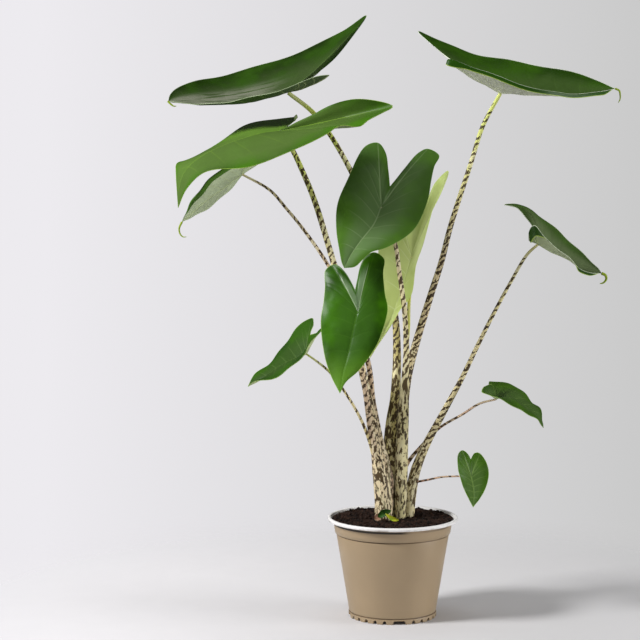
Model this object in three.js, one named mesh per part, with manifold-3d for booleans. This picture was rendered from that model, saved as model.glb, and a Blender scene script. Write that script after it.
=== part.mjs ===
// Alocasia zebrina in a 140 mm nursery pot. Millimetres, +Z up, +Y away from the front.
// The pot's foot stands on z = 0 and its axis is the Z axis.
import * as THREE from 'three';
import { mergeVertices } from 'three/addons/utils/BufferGeometryUtils.js';
import Module from 'manifold-3d';

const wasm = await Module();
wasm.setup();

// ---- driving dimensions

const gap = 0.3;                   // clearance between neighbouring pieces
const pot = {
  rimRadius: 70, height: 108, wall: 1.2, lipHeight: 3.8, lipWidth: 3.4,
  footRadius: 47.5, footWidth: 3.4, footHeight: 5.2,
  floorUnder: 3, floorTop: 5,
  stepRadius: 60.6, stepHeight: 90.6,
  sides: 48,
};
const foot = {
  archWidth: 3.4, archHeight: 2.8, archesEach: 5,
  slotWidth: 13, slotHeight: 3.2, slots: 4,
};
const drain = { radius: 3.5, circle: 31, count: 6 };
const soil = { top: 106, relief: 0.8, edgeHeight: 105.8, rings: 5 };
const socket = { bottom: 74, top: 114 };   // the straight feet of each shoot, in their holes
const blade = { thickness: 0.9, rings: 3, perSpan: 2, waves: 9, waveHeight: 0.8 };
const petioleSides = 9;
const trimmer = { radius: 6, height: 6, lower: 0.15 };   // the disc that levels a stalk's top

// Places are drawn as seen by an eye at this point: x and z where the line of sight meets the
// plane through the pot's axis, then how far the point itself lies behind (+) or before (-) it.
const eye = new THREE.Vector3(0, -2160, 520);

function spot([x, z, back]) {
  const seen = new THREE.Vector3(x, 0, z);
  return seen.sub(eye).multiplyScalar(1 - back / eye.y).add(eye);
}

// ---- leaves
// junction: where the petiole meets the blade. sinus: the notch between the lobes. first and second:
// the two sides of the margin, counterclockwise as seen from above the blade, from the notch round
// one lobe to the apex and back round the other. bulge: how far the blade swells up (+) or sags (-).
// swell: by how much (x, y, z) a lobe's middle stands off the straight line from the junction to its
// tip, at which step round the margin that tip comes, and over how many steps it fades either way.

const leaves = {
  upper_left: {
    junction: [-112, 563, 40], sinus: [-96, 572, 45], apex: [-240, 553, 45], bulge: -4,
    first: [[-77, 586, 80], [-59, 603, 95], [-29, 643, 112], [-55, 627, 120], [-99, 605, 125],
      [-174, 582, 120], [-216, 571, 84]],
    second: [[-200, 550, 22], [-158, 556, -10], [-110, 568, -32], [-81, 580, -42], [-69, 581, -42],
      [-78, 575, -18]],
  },
  left_drooping: {
    junction: [-121, 522, -27], sinus: [-111, 523, -12], apex: [-230, 440, -42], bulge: 3,
    first: [[-112, 528, 25], [-103, 536, 78], [-122, 535, 93], [-159, 527, 83], [-197, 502, 48],
      [-225, 490, 8], [-234, 472, -17]],
    second: [[-221, 460, -52], [-203, 477, -72], [-155, 484, -102], [-123, 494, -117],
      [-76, 520, -127], [-36, 527, -122], [-1, 548, -107], [-36, 555, -92], [-70, 548, -67],
      [-99, 528, -32]],
  },
  left_small: {
    junction: [-161, 476, 10], sinus: [-153, 484, 18], apex: [-226, 425, 5], bulge: 2,
    first: [[-140, 490, 52], [-157, 478, 62], [-174, 460, 60], [-193, 443, 48], [-209, 433, 30]],
    second: [[-215, 448, -8], [-192, 475, -15], [-178, 484, -15], [-155, 491, -10],
      [-155, 487, 4]],
  },
  upper_right: {
    junction: [112, 562, 30], sinus: [98, 575, 35], apex: [233, 566, 55], bulge: -2.5,
    first: [[62, 590, -28], [58, 597, -42], [91, 586, -42], [120, 575, -42], [143, 568, -38],
      [165, 563, -28], [201, 561, 8]],
    second: [[201, 580, 74], [159, 589, 80], [122, 596, 88], [84, 603, 92], [54, 614, 92],
      [25, 627, 88], [38, 613, 75], [60, 597, 60]],
  },
  right_folded: {
    junction: [153, 402, 10], sinus: [150, 410, 12], apex: [221, 371, 5], bulge: -0.5,
    first: [[144, 406, -22], [144, 417, -38], [150, 422, -42], [161, 408, -42], [176, 396, -38],
      [189, 385, -30], [203, 373, -14]],
    second: [[217, 377, 14], [203, 390, 26], [187, 405, 34], [169, 421, 38], [145, 438, 38],
      [128, 445, 34], [117, 444, 30], [128, 441, 26], [139, 432, 22], [147, 421, 18]],
    swell: { at: 30, spread: 4, by: [8, 0, 6] },
  },
  lower_right: {
    junction: [110, 236, -20], sinus: [110, 243, -18], apex: [159, 205, -25], bulge: 2,
    first: [[94, 243, -52], [101, 240, -58], [118, 234, -62], [138, 223, -55], [153, 213, -40]],
    second: [[159, 217, -10], [156, 227, 0], [148, 233, 8], [138, 245, 16], [125, 252, 18],
      [102, 254, 12], [107, 248, 0]],
  },
  small_heart: {
    junction: [84, 152, -15], sinus: [83, 169, -6], apex: [85, 118, -32], bulge: 1.5,
    first: [[77, 178, 0], [72, 179, 1], [69, 171, -2], [71, 157, -10], [75, 139, -18]],
    second: [[93, 127, -26], [100, 140, -19], [102, 155, -11], [97, 170, -3], [90, 177, 1],
      [86, 174, -1]],
  },
  lower_left: {
    junction: [-93, 284, -30], sinus: [-89, 304, -22], apex: [-156, 248, -22], bulge: 2,
    first: [[-86, 322, 5], [-97, 318, 12], [-114, 297, 10], [-133, 273, -2], [-150, 260, -12]],
    second: [[-149, 254, -34], [-130, 256, -48], [-114, 266, -58], [-98, 280, -62], [-88, 296, -62],
      [-75, 312, -55], [-82, 307, -38]],
  },
  middle_heart: {
    junction: [-13, 442, -50], sinus: [-4, 463, -42], apex: [-53, 376, -86], bulge: 5,
    first: [[-6, 482, -30], [-9, 499, -18], [-17, 509, -12], [-30, 506, -14], [-47, 475, -30],
      [-60, 443, -48], [-61, 417, -62], [-58, 396, -74]],
    second: [[-37, 383, -84], [-24, 393, -80], [-7, 398, -76], [22, 418, -64], [37, 450, -46],
      [42, 487, -26], [48, 496, -20], [36, 503, -16], [27, 499, -18], [12, 483, -28],
      [1, 469, -38]],
  },
  lower_heart: {
    junction: [-38, 330, -82], sinus: [-41, 353, -74], apex: [-57, 241, -112], bulge: 4,
    first: [[-51, 371, -64], [-60, 379, -58], [-66, 379, -56], [-73, 374, -58], [-76, 341, -72],
      [-78, 322, -80], [-74, 284, -96], [-67, 261, -104]],
    second: [[-51, 253, -108], [-36, 267, -104], [-22, 286, -98], [-14, 302, -92], [-6, 332, -80],
      [-9, 349, -72], [-11, 371, -62], [-10, 386, -54], [-20, 393, -50], [-29, 389, -52],
      [-35, 379, -58], [-39, 362, -68]],
  },
  pale_young: {
    junction: [19, 389, 4], sinus: [20, 430, 17], apex: [-25, 279, -22], bulge: 3,
    first: [[8, 443, 18], [-1, 465, 22], [-10, 443, 16], [-15, 411, 6], [-17, 383, -2],
      [-21, 352, -8], [-25, 315, -14]],
    second: [[-14, 297, -18], [-2, 315, -14], [7, 331, -10], [19, 347, -6], [24, 379, 4],
      [31, 400, 10], [43, 443, 20], [51, 458, 24], [58, 480, 30], [44, 467, 26], [28, 432, 18]],
  },
};
const paleLeaf = 'pale_young';

// ---- shoots
// feet: x, y and radius of each straight foot. stems: the sheathing stem on each foot, from the foot
// up. petioles: each leaf's stalk from under its blade down into a stem. A point of a stem or petiole
// is x, z, back and the radius there.

const shoots = {
  left: {
    feet: [[-10, -7, 9.5]],
    stems: [[[-10, 111, -7, 9.4], [-13, 150, -9, 8.6], [-19, 190, -14, 6.4], [-25, 222, -20, 5]]],
    petioles: {
      left_drooping: [[-108, 502, -22, 2.6], [-97, 479, -20, 2.8], [-84, 447, -22, 3],
        [-64, 382, -28, 3.2], [-47, 325, -34, 3.5], [-34, 270, -28, 4], [-30, 241, -25, 4.3],
        [-24, 202, -18, 4.8], [-17, 150, -10, 5]],
      left_small: [[-132, 459, 4, 1.6], [-114, 439, -4, 1.8], [-96, 417, -11, 1.9],
        [-71, 381, -15, 2.1], [-51, 342, -16, 2.3], [-27, 275, -14, 2.8], [-22, 234, -11, 3.2],
        [-16, 200, -8, 4.2], [-9, 166, -4, 5], [-7, 146, -4, 5]],
      lower_heart: [[-38, 310, -70, 2], [-36, 285, -58, 2.2], [-33, 262, -45, 2.6],
        [-29, 240, -34, 3], [-24, 205, -22, 3.8], [-17, 150, -11, 4]],
      lower_left: [[-81, 275, -34, 1.2], [-68, 264, -38, 1.3], [-52, 243, -40, 1.4],
        [-38, 220, -34, 1.5], [-28, 198, -23, 1.8], [-19, 172, -13, 2.2]],
    },
  },
  middle: {
    feet: [[-1, 11.5, 8.4], [8, 1, 6.2]],
    stems: [
      [[-1, 111, 11.5, 8.3], [-1, 147, 11, 8.3], [-2, 180, 11, 8], [-0.5, 213, 13, 6.8],
        [2, 234, 16, 5.6], [4, 262, 20, 4.8]],
      [[8, 111, 1, 6.1], [9, 153, 1, 6.7], [9.5, 180, 1, 6.6], [11, 213, 0, 5.8],
        [12, 240, -4, 4.9]],
    ],
    petioles: {
      upper_left: [[-83, 538, 46, 2.6], [-45, 478, 46, 3], [-12, 392, 42, 3.4], [2, 323, 34, 3.8],
        [4, 286, 26, 4.3], [3.5, 260, 20, 4.7], [2, 234, 16, 5], [-1, 190, 12, 5]],
      upper_right: [[94, 527, 30, 2.3], [82, 489, 28, 2.5], [60.5, 421, 22, 2.9], [51, 383, 16, 3.2],
        [40, 348, 16, 3.6], [23, 291, 15, 4.1], [15.5, 260, 9, 4.5], [12, 234, 3, 4.8],
        [10, 190, 1, 5]],
      middle_heart: [[-6, 425, -37, 2.2], [2, 401, -30, 2.4], [6, 373, -26, 2.6],
        [12, 330, -24, 2.8], [14, 286, -16, 3.1], [13, 262, -10, 3.8], [12, 234, -4, 4.6],
        [10, 190, 0, 5]],
      pale_young: [[20, 368, 13, 2], [17, 345, 12, 2.1], [16, 313, 6, 2.3], [14, 286, 0, 2.6],
        [12.5, 258, -3, 3], [11, 225, -1, 3.4], [10, 190, 0, 4]],
      lower_right: [[93, 231, -14, 1.2], [74, 219, -3, 1.3], [55, 208, 11, 1.4], [46, 201, 17, 1.5],
        [29, 183, 16, 1.7], [17, 168, 9, 2.1], [9, 152, 4, 2.4]],
    },
  },
  right: {
    feet: [[17, 13, 6.2]],
    stems: [[[17, 112, 13, 6.1], [20.5, 140, 12, 5.8], [29, 171, 8, 5], [38, 191, 4, 4.2]]],
    petioles: {
      right_folded: [[142, 391, 9, 1.6], [125, 362, 6, 1.8], [103, 320, 2, 2.1], [88, 289, -1, 2.4],
        [73, 257, -3, 2.7], [55, 223, -1, 3.4], [46, 206, 1, 3.8], [38, 191, 4, 4.1],
        [30, 174, 7, 4.6], [22, 147, 11, 5]],
      small_heart: [[69, 152, -3, 0.9], [52, 151, -2, 1], [38, 148, 4, 1.1], [22, 145, 10, 1.3]],
    },
  },
};

// Two young leaves leaning on the soil in front of the shoots: both ends in plain x, y and height
// over the ground there, and half the width across.
const sprouts = {
  sprout_dark: { foot: [-15, -23, 1.7], tip: [-1, -22, 12.5], halfWidth: 4.6 },
  sprout_light: { foot: [6, -27, 0.2], tip: [-7.5, -26.5, 8.2], halfWidth: 2.6 },
};

const sproutDepth = 1.4;   // half a young leaf's depth from front to back

// ---- materials

const finish = (colour, roughness) =>
  new THREE.MeshStandardMaterial({ color: colour, roughness, metalness: 0 });
const materials = {
  leafGreen: finish('#24501c', 0.4),
  leafPale: finish('#b9cd7c', 0.5),
  petiole: finish('#b8a878', 0.5),
  sprout: finish('#4d7a26', 0.5),
  soil: finish('#33231a', 0.95),
  pot: finish('#a8957a', 0.55),
};

// ---- solids

function toManifold(geometry) {
  const bare = geometry.clone();
  bare.deleteAttribute('normal');
  bare.deleteAttribute('uv');
  const merged = mergeVertices(bare, 1e-4);
  return new wasm.Manifold(new wasm.Mesh({
    numProp: 3,
    vertProperties: new Float32Array(merged.attributes.position.array),
    triVerts: new Uint32Array(merged.index.array),
  }));
}

function toGeometry(solid) {
  const mesh = solid.getMesh();
  const stride = mesh.numProp;
  const count = mesh.vertProperties.length / stride;
  const places = new Float32Array(count * 3);
  for (let i = 0; i < count; i += 1) {
    for (let k = 0; k < 3; k += 1) places[3 * i + k] = mesh.vertProperties[i * stride + k];
  }
  const geometry = new THREE.BufferGeometry();
  geometry.setAttribute('position', new THREE.BufferAttribute(places, 3));
  geometry.setIndex(Array.from(mesh.triVerts));
  geometry.computeVertexNormals();
  return geometry;
}

function indexed(points, faces) {
  const geometry = new THREE.BufferGeometry();
  geometry.setFromPoints(points);
  geometry.setIndex(faces);
  geometry.computeVertexNormals();
  return geometry;
}

function lathe(profile, sides) {
  return new THREE.LatheGeometry(profile.map(([r, z]) => new THREE.Vector2(r, z)), sides)
    .rotateX(Math.PI / 2);
}

// A stalk: a round section run along a smooth curve, then drawn in or out at each step to the
// thickness read between the given radii.
function stalk(places, radii, steps) {
  const path = new THREE.CatmullRomCurve3(places, false, 'centripetal');
  const corners = Array.from({ length: petioleSides }, (_, k) => {
    const turn = (2 * Math.PI * k) / petioleSides;
    return new THREE.Vector2(Math.cos(turn), Math.sin(turn));
  });
  const tube = new THREE.ExtrudeGeometry(new THREE.Shape(corners),
    { steps, extrudePath: path, bevelEnabled: false });
  const centres = path.getSpacedPoints(steps);
  const radiusAt = (step) => {
    const along = path.getUtoTmapping(step / steps) * (radii.length - 1);
    const low = Math.min(Math.floor(along), radii.length - 2);
    return radii[low] + (radii[low + 1] - radii[low]) * (along - low);
  };
  const place = tube.attributes.position;
  const point = new THREE.Vector3();
  for (let i = 0; i < place.count; i += 1) {
    point.fromBufferAttribute(place, i);
    const reach = centres.map((centre) => centre.distanceTo(point));
    const step = reach.indexOf(Math.min(...reach));
    point.sub(centres[step]).multiplyScalar(radiusAt(step)).add(centres[step]);
    place.setXYZ(i, point.x, point.y, point.z);
  }
  return tube;
}

// ---- blades

function marginOf(leaf) {
  const side = (names) => {
    const curve = new THREE.CatmullRomCurve3(names.map(spot), false, 'centripetal');
    const spans = names.length - 1;
    return Array.from({ length: spans * blade.perSpan },
      (_, i) => curve.getPoint(i / (spans * blade.perSpan)));
  };
  const out = side([leaf.sinus, ...leaf.first, leaf.apex]);
  const back = side([leaf.apex, ...leaf.second, leaf.sinus]);
  return [...out, ...back];
}

function fanFaces(count) {
  const faces = [];
  for (let k = 0; k < count; k += 1) {
    const next = (k + 1) % count;
    faces.push(0, 1 + k, 1 + next);
    for (let ring = 0; ring < blade.rings - 1; ring += 1) {
      const a = 1 + ring * count;
      const b = a + count;
      faces.push(a + k, b + k, b + next, a + k, b + next, a + next);
    }
  }
  return faces;
}

function middleSurface(leaf) {
  const heart = spot(leaf.junction);
  const margin = marginOf(leaf);
  const swell = leaf.swell ?? { at: 0, spread: 1, by: [0, 0, 0] };
  const by = new THREE.Vector3(...swell.by);
  const up = new THREE.Vector3();
  margin.forEach((p, k) => {
    const next = margin[(k + 1) % margin.length];
    up.add(p.clone().sub(heart).cross(next.clone().sub(heart)));
  });
  up.normalize();
  const points = [heart];
  for (let ring = 1; ring <= blade.rings; ring += 1) {
    const r = ring / blade.rings;
    margin.forEach((p, k) => {
      const wave = Math.sin((2 * Math.PI * blade.waves * k) / margin.length);
      const lift = leaf.bulge * 4 * r * (1 - r) + blade.waveHeight * wave * r ** 3;
      const near = Math.exp(-(((k - swell.at) / swell.spread) ** 2));
      points.push(heart.clone().lerp(p, r).addScaledVector(up, lift)
        .addScaledVector(by, near * 4 * r * (1 - r)));
    });
  }
  return { points, up, faces: fanFaces(margin.length), count: margin.length };
}

// The solid between two layers, the given heights over and under the blade's middle surface.
function bladeSolid(leaf, above, below) {
  const { points, faces, count } = middleSurface(leaf);
  const normals = indexed(points, faces).attributes.normal;
  const normalAt = (i) => new THREE.Vector3().fromBufferAttribute(normals, i);
  const upper = points.map((p, i) => p.clone().addScaledVector(normalAt(i), above));
  const under = points.map((p, i) => p.clone().addScaledVector(normalAt(i), -below));
  const all = [...faces];
  for (let i = 0; i < faces.length; i += 3) {
    all.push(faces[i] + points.length, faces[i + 2] + points.length, faces[i + 1] + points.length);
  }
  const rim = points.length - count;
  for (let k = 0; k < count; k += 1) {
    const a = rim + k;
    const b = rim + ((k + 1) % count);
    all.push(a, a + points.length, b + points.length, a, b + points.length, b);
  }
  return indexed([...upper, ...under], all);
}

// ---- shoots: the stalks and the sheathing foot, grown together, cut clear of the blades

function levelDisc(heart, up, under) {
  const { radius, height } = trimmer;
  const middle = heart.clone().addScaledVector(up, height / 2 - under);
  const turn = new THREE.Quaternion().setFromUnitVectors(new THREE.Vector3(0, 1, 0), up);
  return new THREE.CylinderGeometry(radius, radius, height, 12)
    .applyQuaternion(turn).translate(middle.x, middle.y, middle.z);
}

function shootSolid(shoot) {
  const column = (list) => stalk(list.map(spot), list.map((p) => p[3]), 2 * (list.length - 1));
  let solid = toManifold(column(shoot.stems[0]));
  for (const stem of shoot.stems.slice(1)) solid = solid.add(toManifold(column(stem)));
  for (const [x, y, radius] of shoot.feet) {
    const foot = new THREE.CylinderGeometry(radius, radius, socket.top - socket.bottom, 24);
    foot.rotateX(Math.PI / 2).translate(x, y, (socket.top + socket.bottom) / 2);
    solid = solid.add(toManifold(foot));
  }
  for (const [name, list] of Object.entries(shoot.petioles)) {
    const leaf = leaves[name];
    const { up } = middleSurface(leaf);
    const topRadius = list[0][3] * 0.9;
    const under = blade.thickness / 2 + gap;
    const heart = spot(leaf.junction);
    const top = heart.clone().addScaledVector(up, 0.1 - under);
    const places = [top, ...list.map(spot)];
    const radii = [topRadius, ...list.map((p) => p[3])];
    const petiole = toManifold(stalk(places, radii, 2 * list.length))
      .subtract(toManifold(levelDisc(heart, up, under + trimmer.lower)))
      .subtract(toManifold(bladeSolid(leaf, under, under)));
    solid = solid.add(petiole);
  }
  return solid;
}

// ---- pot and soil

function potProfile() {
  const { footRadius: f, stepRadius: s, stepHeight: h, rimRadius: rim, height, wall } = pot;
  const lip = height - pot.lipHeight;
  return [
    [0, pot.floorUnder], [f - pot.footWidth, pot.floorUnder], [f - pot.footWidth, 0], [f, 0],
    [f, pot.footHeight - 0.4], [f - 0.7, pot.footHeight], [s, h], [s + 1.5, h + 1],
    [s + 3.2, lip - 1], [rim - 3.5, lip - 0.2], [rim - 0.6, lip], [rim, lip + 0.8],
    [rim, height - 0.8], [rim - 0.7, height], [rim - pot.lipWidth + 0.8, height],
    [rim - pot.lipWidth, height - 0.8], [rim - pot.lipWidth - 0.4, height - 2.2],
    [rim - pot.lipWidth - 2, height - 3.2], [s + 2.2, lip - 0.8], [s + 3 - wall, height - 9],
    [s - wall, h], [f - 0.7 - wall, pot.floorTop], [0, pot.floorTop],
  ];
}

function block(width, depth, height, radius, angle, z) {
  return toManifold(new THREE.BoxGeometry(width, depth, height)
    .translate(0, -radius, z).rotateZ(angle));
}

// A round arch cut: a short cylinder lying across the foot ring.
function arch(width, height, radius, angle) {
  return toManifold(new THREE.CylinderGeometry(width / 2, width / 2, 9, 12)
    .scale(1, 1, (2 * height) / width).translate(0, -radius, 0).rotateZ(angle));
}

function potSolid() {
  let solid = toManifold(lathe(potProfile(), pot.sides));
  const ring = pot.footRadius - pot.footWidth / 2;
  const quarter = (2 * Math.PI) / foot.slots;
  for (let i = 0; i < foot.slots; i += 1) {
    const middle = i * quarter + 0.12;
    solid = solid.subtract(block(foot.slotWidth, 9, 2 * foot.slotHeight - 0.6, ring, middle, 0));
    for (let k = 1; k <= foot.archesEach; k += 1) {
      const angle = middle + (quarter * k) / (foot.archesEach + 1);
      solid = solid.subtract(arch(foot.archWidth, foot.archHeight, ring, angle));
    }
  }
  for (let i = 0; i < drain.count; i += 1) {
    const angle = (2 * Math.PI * i) / drain.count;
    const hole = new THREE.CylinderGeometry(drain.radius, drain.radius, 12, 16).rotateX(Math.PI / 2)
      .translate(drain.circle * Math.cos(angle), drain.circle * Math.sin(angle), pot.floorUnder);
    solid = solid.subtract(toManifold(hole));
  }
  return solid;
}

// Gentle uneven ground: a few crossing waves.
function groundAt(x, y) {
  const bumps = Math.sin(0.31 * x + 1) * Math.cos(0.27 * y) + 0.6 * Math.sin(0.55 * y - 0.4 * x);
  return soil.top + soil.relief * bumps;
}

function soilSolid() {
  const inner = (z) => {
    const low = pot.footRadius - 0.7 - pot.wall;
    const high = pot.stepRadius - pot.wall;
    return low + ((high - low) * (z - pot.floorTop)) / (pot.stepHeight - pot.floorTop);
  };
  const under = pot.floorTop + gap;
  const edge = pot.stepHeight;
  const profile = [[0, under], [inner(under) - 1.3 * gap, under], [inner(edge) - 1.3 * gap, edge],
    [pot.stepRadius + 3 - pot.wall - 1.3 * gap, pot.height - 9],
    [pot.stepRadius + 1.8, pot.height - pot.lipHeight - 0.6],
    [pot.rimRadius - pot.lipWidth - 2.3, pot.height - 2.9],
    [pot.rimRadius - pot.lipWidth - 0.9, soil.edgeHeight]];
  const levelFrom = pot.rimRadius - pot.lipWidth - 2;
  for (let i = 1; i <= soil.rings; i += 1) {
    profile.push([levelFrom * (1 - (i - 1) / (soil.rings - 1)), soil.top]);
  }
  const shape = lathe(profile, pot.sides);
  const place = shape.attributes.position;
  for (let i = 0; i < place.count; i += 1) {
    if (place.getZ(i) > soil.top - 0.01) place.setZ(i, groundAt(place.getX(i), place.getY(i)));
  }
  let solid = toManifold(shape);
  for (const [x, y, radius] of Object.values(shoots).flatMap((shoot) => shoot.feet)) {
    const hole = new THREE.CylinderGeometry(radius + gap, radius + gap, 60, 24);
    hole.rotateX(Math.PI / 2).translate(x, y, socket.bottom - gap + 30);
    solid = solid.subtract(toManifold(hole));
  }
  return solid;
}

// A young leaf: a small pointed scale, rounded on both faces, its foot just over the ground.
function sproutGeometry({ foot: [x, y, low], tip: [u, v, high], halfWidth }) {
  const start = new THREE.Vector3(x, y, groundAt(x, y) + low);
  const end = new THREE.Vector3(u, v, groundAt(u, v) + high);
  const across = end.clone().sub(start).cross(new THREE.Vector3(0, 1, 0)).normalize();
  const shape = new THREE.SphereGeometry(1, 12, 8);
  const place = shape.attributes.position;
  for (let i = 0; i < place.count; i += 1) {
    const t = (place.getY(i) + 1) / 2;
    const taper = 1 - 0.5 * t;
    const point = start.clone().lerp(end, t)
      .addScaledVector(across, place.getX(i) * halfWidth * taper);
    place.setXYZ(i, point.x, point.y + place.getZ(i) * sproutDepth * taper, point.z);
  }
  return toGeometry(toManifold(shape));
}

// ---- assembly

const group = new THREE.Group();
group.name = 'alocasia_zebrina_potted';

function place(name, geometry, material) {
  const mesh = new THREE.Mesh(geometry, material);
  mesh.name = name;
  group.add(mesh);
}

place('pot', toGeometry(potSolid()), materials.pot);
place('soil', toGeometry(soilSolid()), materials.soil);
for (const [name, shoot] of Object.entries(shoots)) {
  place(`shoot_${name}`, toGeometry(shootSolid(shoot)), materials.petiole);
}
for (const [name, leaf] of Object.entries(leaves)) {
  const colour = name === paleLeaf ? materials.leafPale : materials.leafGreen;
  place(`leaf_${name}`, bladeSolid(leaf, blade.thickness / 2, blade.thickness / 2), colour);
}
for (const [name, sprout] of Object.entries(sprouts)) {
  place(name, sproutGeometry(sprout), materials.sprout);
}

export default group;
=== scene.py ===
import functools
import math

import bpy
import numpy as np
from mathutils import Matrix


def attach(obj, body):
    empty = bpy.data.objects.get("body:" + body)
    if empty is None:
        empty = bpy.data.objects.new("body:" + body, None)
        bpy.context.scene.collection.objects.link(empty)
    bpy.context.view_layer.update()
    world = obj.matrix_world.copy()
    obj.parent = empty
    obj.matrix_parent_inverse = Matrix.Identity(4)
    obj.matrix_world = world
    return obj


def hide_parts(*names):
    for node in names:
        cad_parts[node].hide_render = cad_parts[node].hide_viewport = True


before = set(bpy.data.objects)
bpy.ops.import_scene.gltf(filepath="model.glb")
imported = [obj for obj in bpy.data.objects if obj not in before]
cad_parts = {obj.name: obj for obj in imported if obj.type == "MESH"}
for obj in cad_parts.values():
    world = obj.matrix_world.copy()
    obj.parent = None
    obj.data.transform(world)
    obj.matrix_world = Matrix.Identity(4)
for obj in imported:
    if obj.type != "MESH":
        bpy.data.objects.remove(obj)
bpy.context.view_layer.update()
print("frame loaded:", len(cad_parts), "nodes")

# Everything below is worked out in millimetres and put into the meshes in metres.
# A place written [x, z, back] lies on the line of sight from eye through (x, 0, z), and stands
# back millimetres behind the plane through the pot's axis, or before it where back is negative.
eye = np.array([0.0, -2160.0, 520.0])


def spot(rows):
    # eye + (seen - eye) * (1 + back / distance of the eye); further columns are kept
    rows = np.asarray(rows, float)
    seen = np.stack([rows[:, 0], 0 * rows[:, 0], rows[:, 1]], 1)
    places = eye + (seen - eye) * (1 + rows[:, 2:3] / -eye[1])
    return np.hstack([places, rows[:, 3:]])


# ---- camera

view = dict(lens=114.08, film=36, nearest=0.05, farthest=50, pitch=5.28, yaw=2.08)


def makeCamera():
    # at the eye, turned down by the pitch and left by the yaw
    data = bpy.data.cameras.new("camera")
    data.lens, data.sensor_width = view["lens"], view["film"]
    data.clip_start, data.clip_end = view["nearest"], view["farthest"]
    camera = bpy.data.objects.new("camera", data)
    camera.location = eye / 1000
    camera.rotation_euler = (math.radians(90 - view["pitch"]), 0, math.radians(view["yaw"]))
    bpy.context.scene.collection.objects.link(camera)
    bpy.context.scene.camera = camera


makeCamera()


# ---- shader maths

def paint(code, bright=1.0):
    # the linear light value of a colour written as its six screen digits
    part = np.array([int(code[i:i + 2], 16) / 255 for i in (0, 2, 4)])
    line = np.where(part <= 0.04045, part / 12.92, ((part + 0.055) / 1.055) ** 2.4)
    return (*[float(c) * bright for c in line], 1.0)


class Value:
    # one socket; each operator on it adds a Math node
    def __init__(self, recipe, socket):
        self.recipe, self.socket = recipe, socket

    def __add__(self, other):
        return self.recipe.maths("ADD", self, other)

    def __sub__(self, other):
        return self.recipe.maths("SUBTRACT", self, other)

    def __rsub__(self, other):
        return self.recipe.maths("SUBTRACT", other, self)

    def __mul__(self, other):
        return self.recipe.maths("MULTIPLY", self, other)

    def __abs__(self):
        return self.recipe.maths("ABSOLUTE", self)

    __radd__ = __add__
    __rmul__ = __mul__


class Recipe:
    # the nodes of one material, or of the world; colour is what has been painted so far
    def __init__(self, name, kind=bpy.data.materials):
        self.made = kind.new(name)
        self.made.use_nodes = True
        self.tree = self.made.node_tree
        self.tree.nodes.clear()

    def node(self, kind, inputs, output=0, **settings):
        made = self.tree.nodes.new("ShaderNode" + kind)
        for key, value in settings.items():
            setattr(made, key, value)
        for key, value in inputs.items():
            if isinstance(value, Value):
                self.tree.links.new(value.socket, made.inputs[key])
            else:
                made.inputs[key].default_value = value
        return Value(self, made.outputs[output] if made.outputs else None)

    def maths(self, operation, first, second=0.0):
        return self.node("Math", {0: first, 1: second}, operation=operation)

    def least(self, first, second):
        return self.maths("MINIMUM", first, second)

    def most(self, first, second):
        return self.maths("MAXIMUM", first, second)

    def mix(self, share, *colours):
        # from the first colour to the second, each a socket, four numbers or six screen digits
        first, second = (paint(c) if isinstance(c, str) else c for c in colours)
        return self.node("Mix", {0: share, 6: first, 7: second}, 2, data_type="RGBA")

    def coat(self, share, colour):
        self.colour = self.mix(share, self.colour, colour)

    def ease(self, value, low, high, start=0.0, end=1.0):
        # start below low, end above high, and a smooth step between
        ends = {"Value": value, "From Min": low, "From Max": high, "To Min": start, "To Max": end}
        return self.node("MapRange", ends, interpolation_type="SMOOTHSTEP")

    def fade(self, value, low, high, start=1.0):
        return self.ease(value, low, high, start, 0.0)

    def measured(self, name, output=2):
        return self.node("Attribute", {}, output, attribute_name=name)

    def places(self):
        return self.node("TexCoord", {}, 3)

    def part(self, vector, axis):
        return self.node("SeparateXYZ", {0: vector}, axis)

    def noise(self, vector, scale, detail=2.0, rough=0.5, twist=0.0):
        # three scales draw the pattern out along the axes that have the smaller ones
        if isinstance(scale, tuple):
            vector = self.node("VectorMath", {0: vector, 1: scale}, operation="MULTIPLY")
            scale = 1.0
        return self.node("TexNoise", {"Vector": vector, "Scale": scale, "Detail": detail,
                                      "Roughness": rough, "Distortion": twist})

    def bump(self, height, strength, distance, **below):
        return self.node("Bump", {"Height": height, "Strength": strength, "Distance": distance,
                                  **below})

    def finish(self, rough, skin, specular):
        shader = self.node("BsdfPrincipled", {"Base Color": self.colour, "Roughness": rough,
                                              "Normal": skin, "Specular IOR Level": specular})
        self.node("OutputMaterial", {"Surface": shader})
        return self.made


# ---- mesh tools

def unit(vectors):
    # each vector made one long
    return vectors / np.maximum(np.linalg.norm(vectors, axis=-1, keepdims=True), 1e-9)


def smooth(x, low=0.0, high=1.0):
    # 0 below low, 1 above high, and a smooth step between
    x = np.clip((x - low) / (high - low), 0, 1)
    return x * x * (3 - 2 * x)


def anglesOf(count):
    # so many angles, evenly round a circle
    return 2 * np.pi * np.arange(count) / count


def gridFaces(rows, columns, joinColumns=False):
    # two triangles for each cell of a grid numbered row * columns + column
    r = np.arange(rows - 1)[:, None]
    c = np.arange(columns if joinColumns else columns - 1)[None, :]
    a = r * columns + c
    b = r * columns + (c + 1) % columns
    lower, upper = np.stack([a, b, b + columns], -1), np.stack([a, b + columns, a + columns], -1)
    return np.concatenate([lower.reshape(-1, 3), upper.reshape(-1, 3)])


def weld(places, faces):
    # points that share a place become one, and faces that close up to nothing go
    _, first, number = np.unique(np.round(places, 4), axis=0, return_index=True,
                                 return_inverse=True)
    number = number.reshape(-1)
    faces = number[faces]
    alive = (faces != np.roll(faces, 1, axis=1)).all(1)
    return first, faces[alive], number, alive


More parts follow.
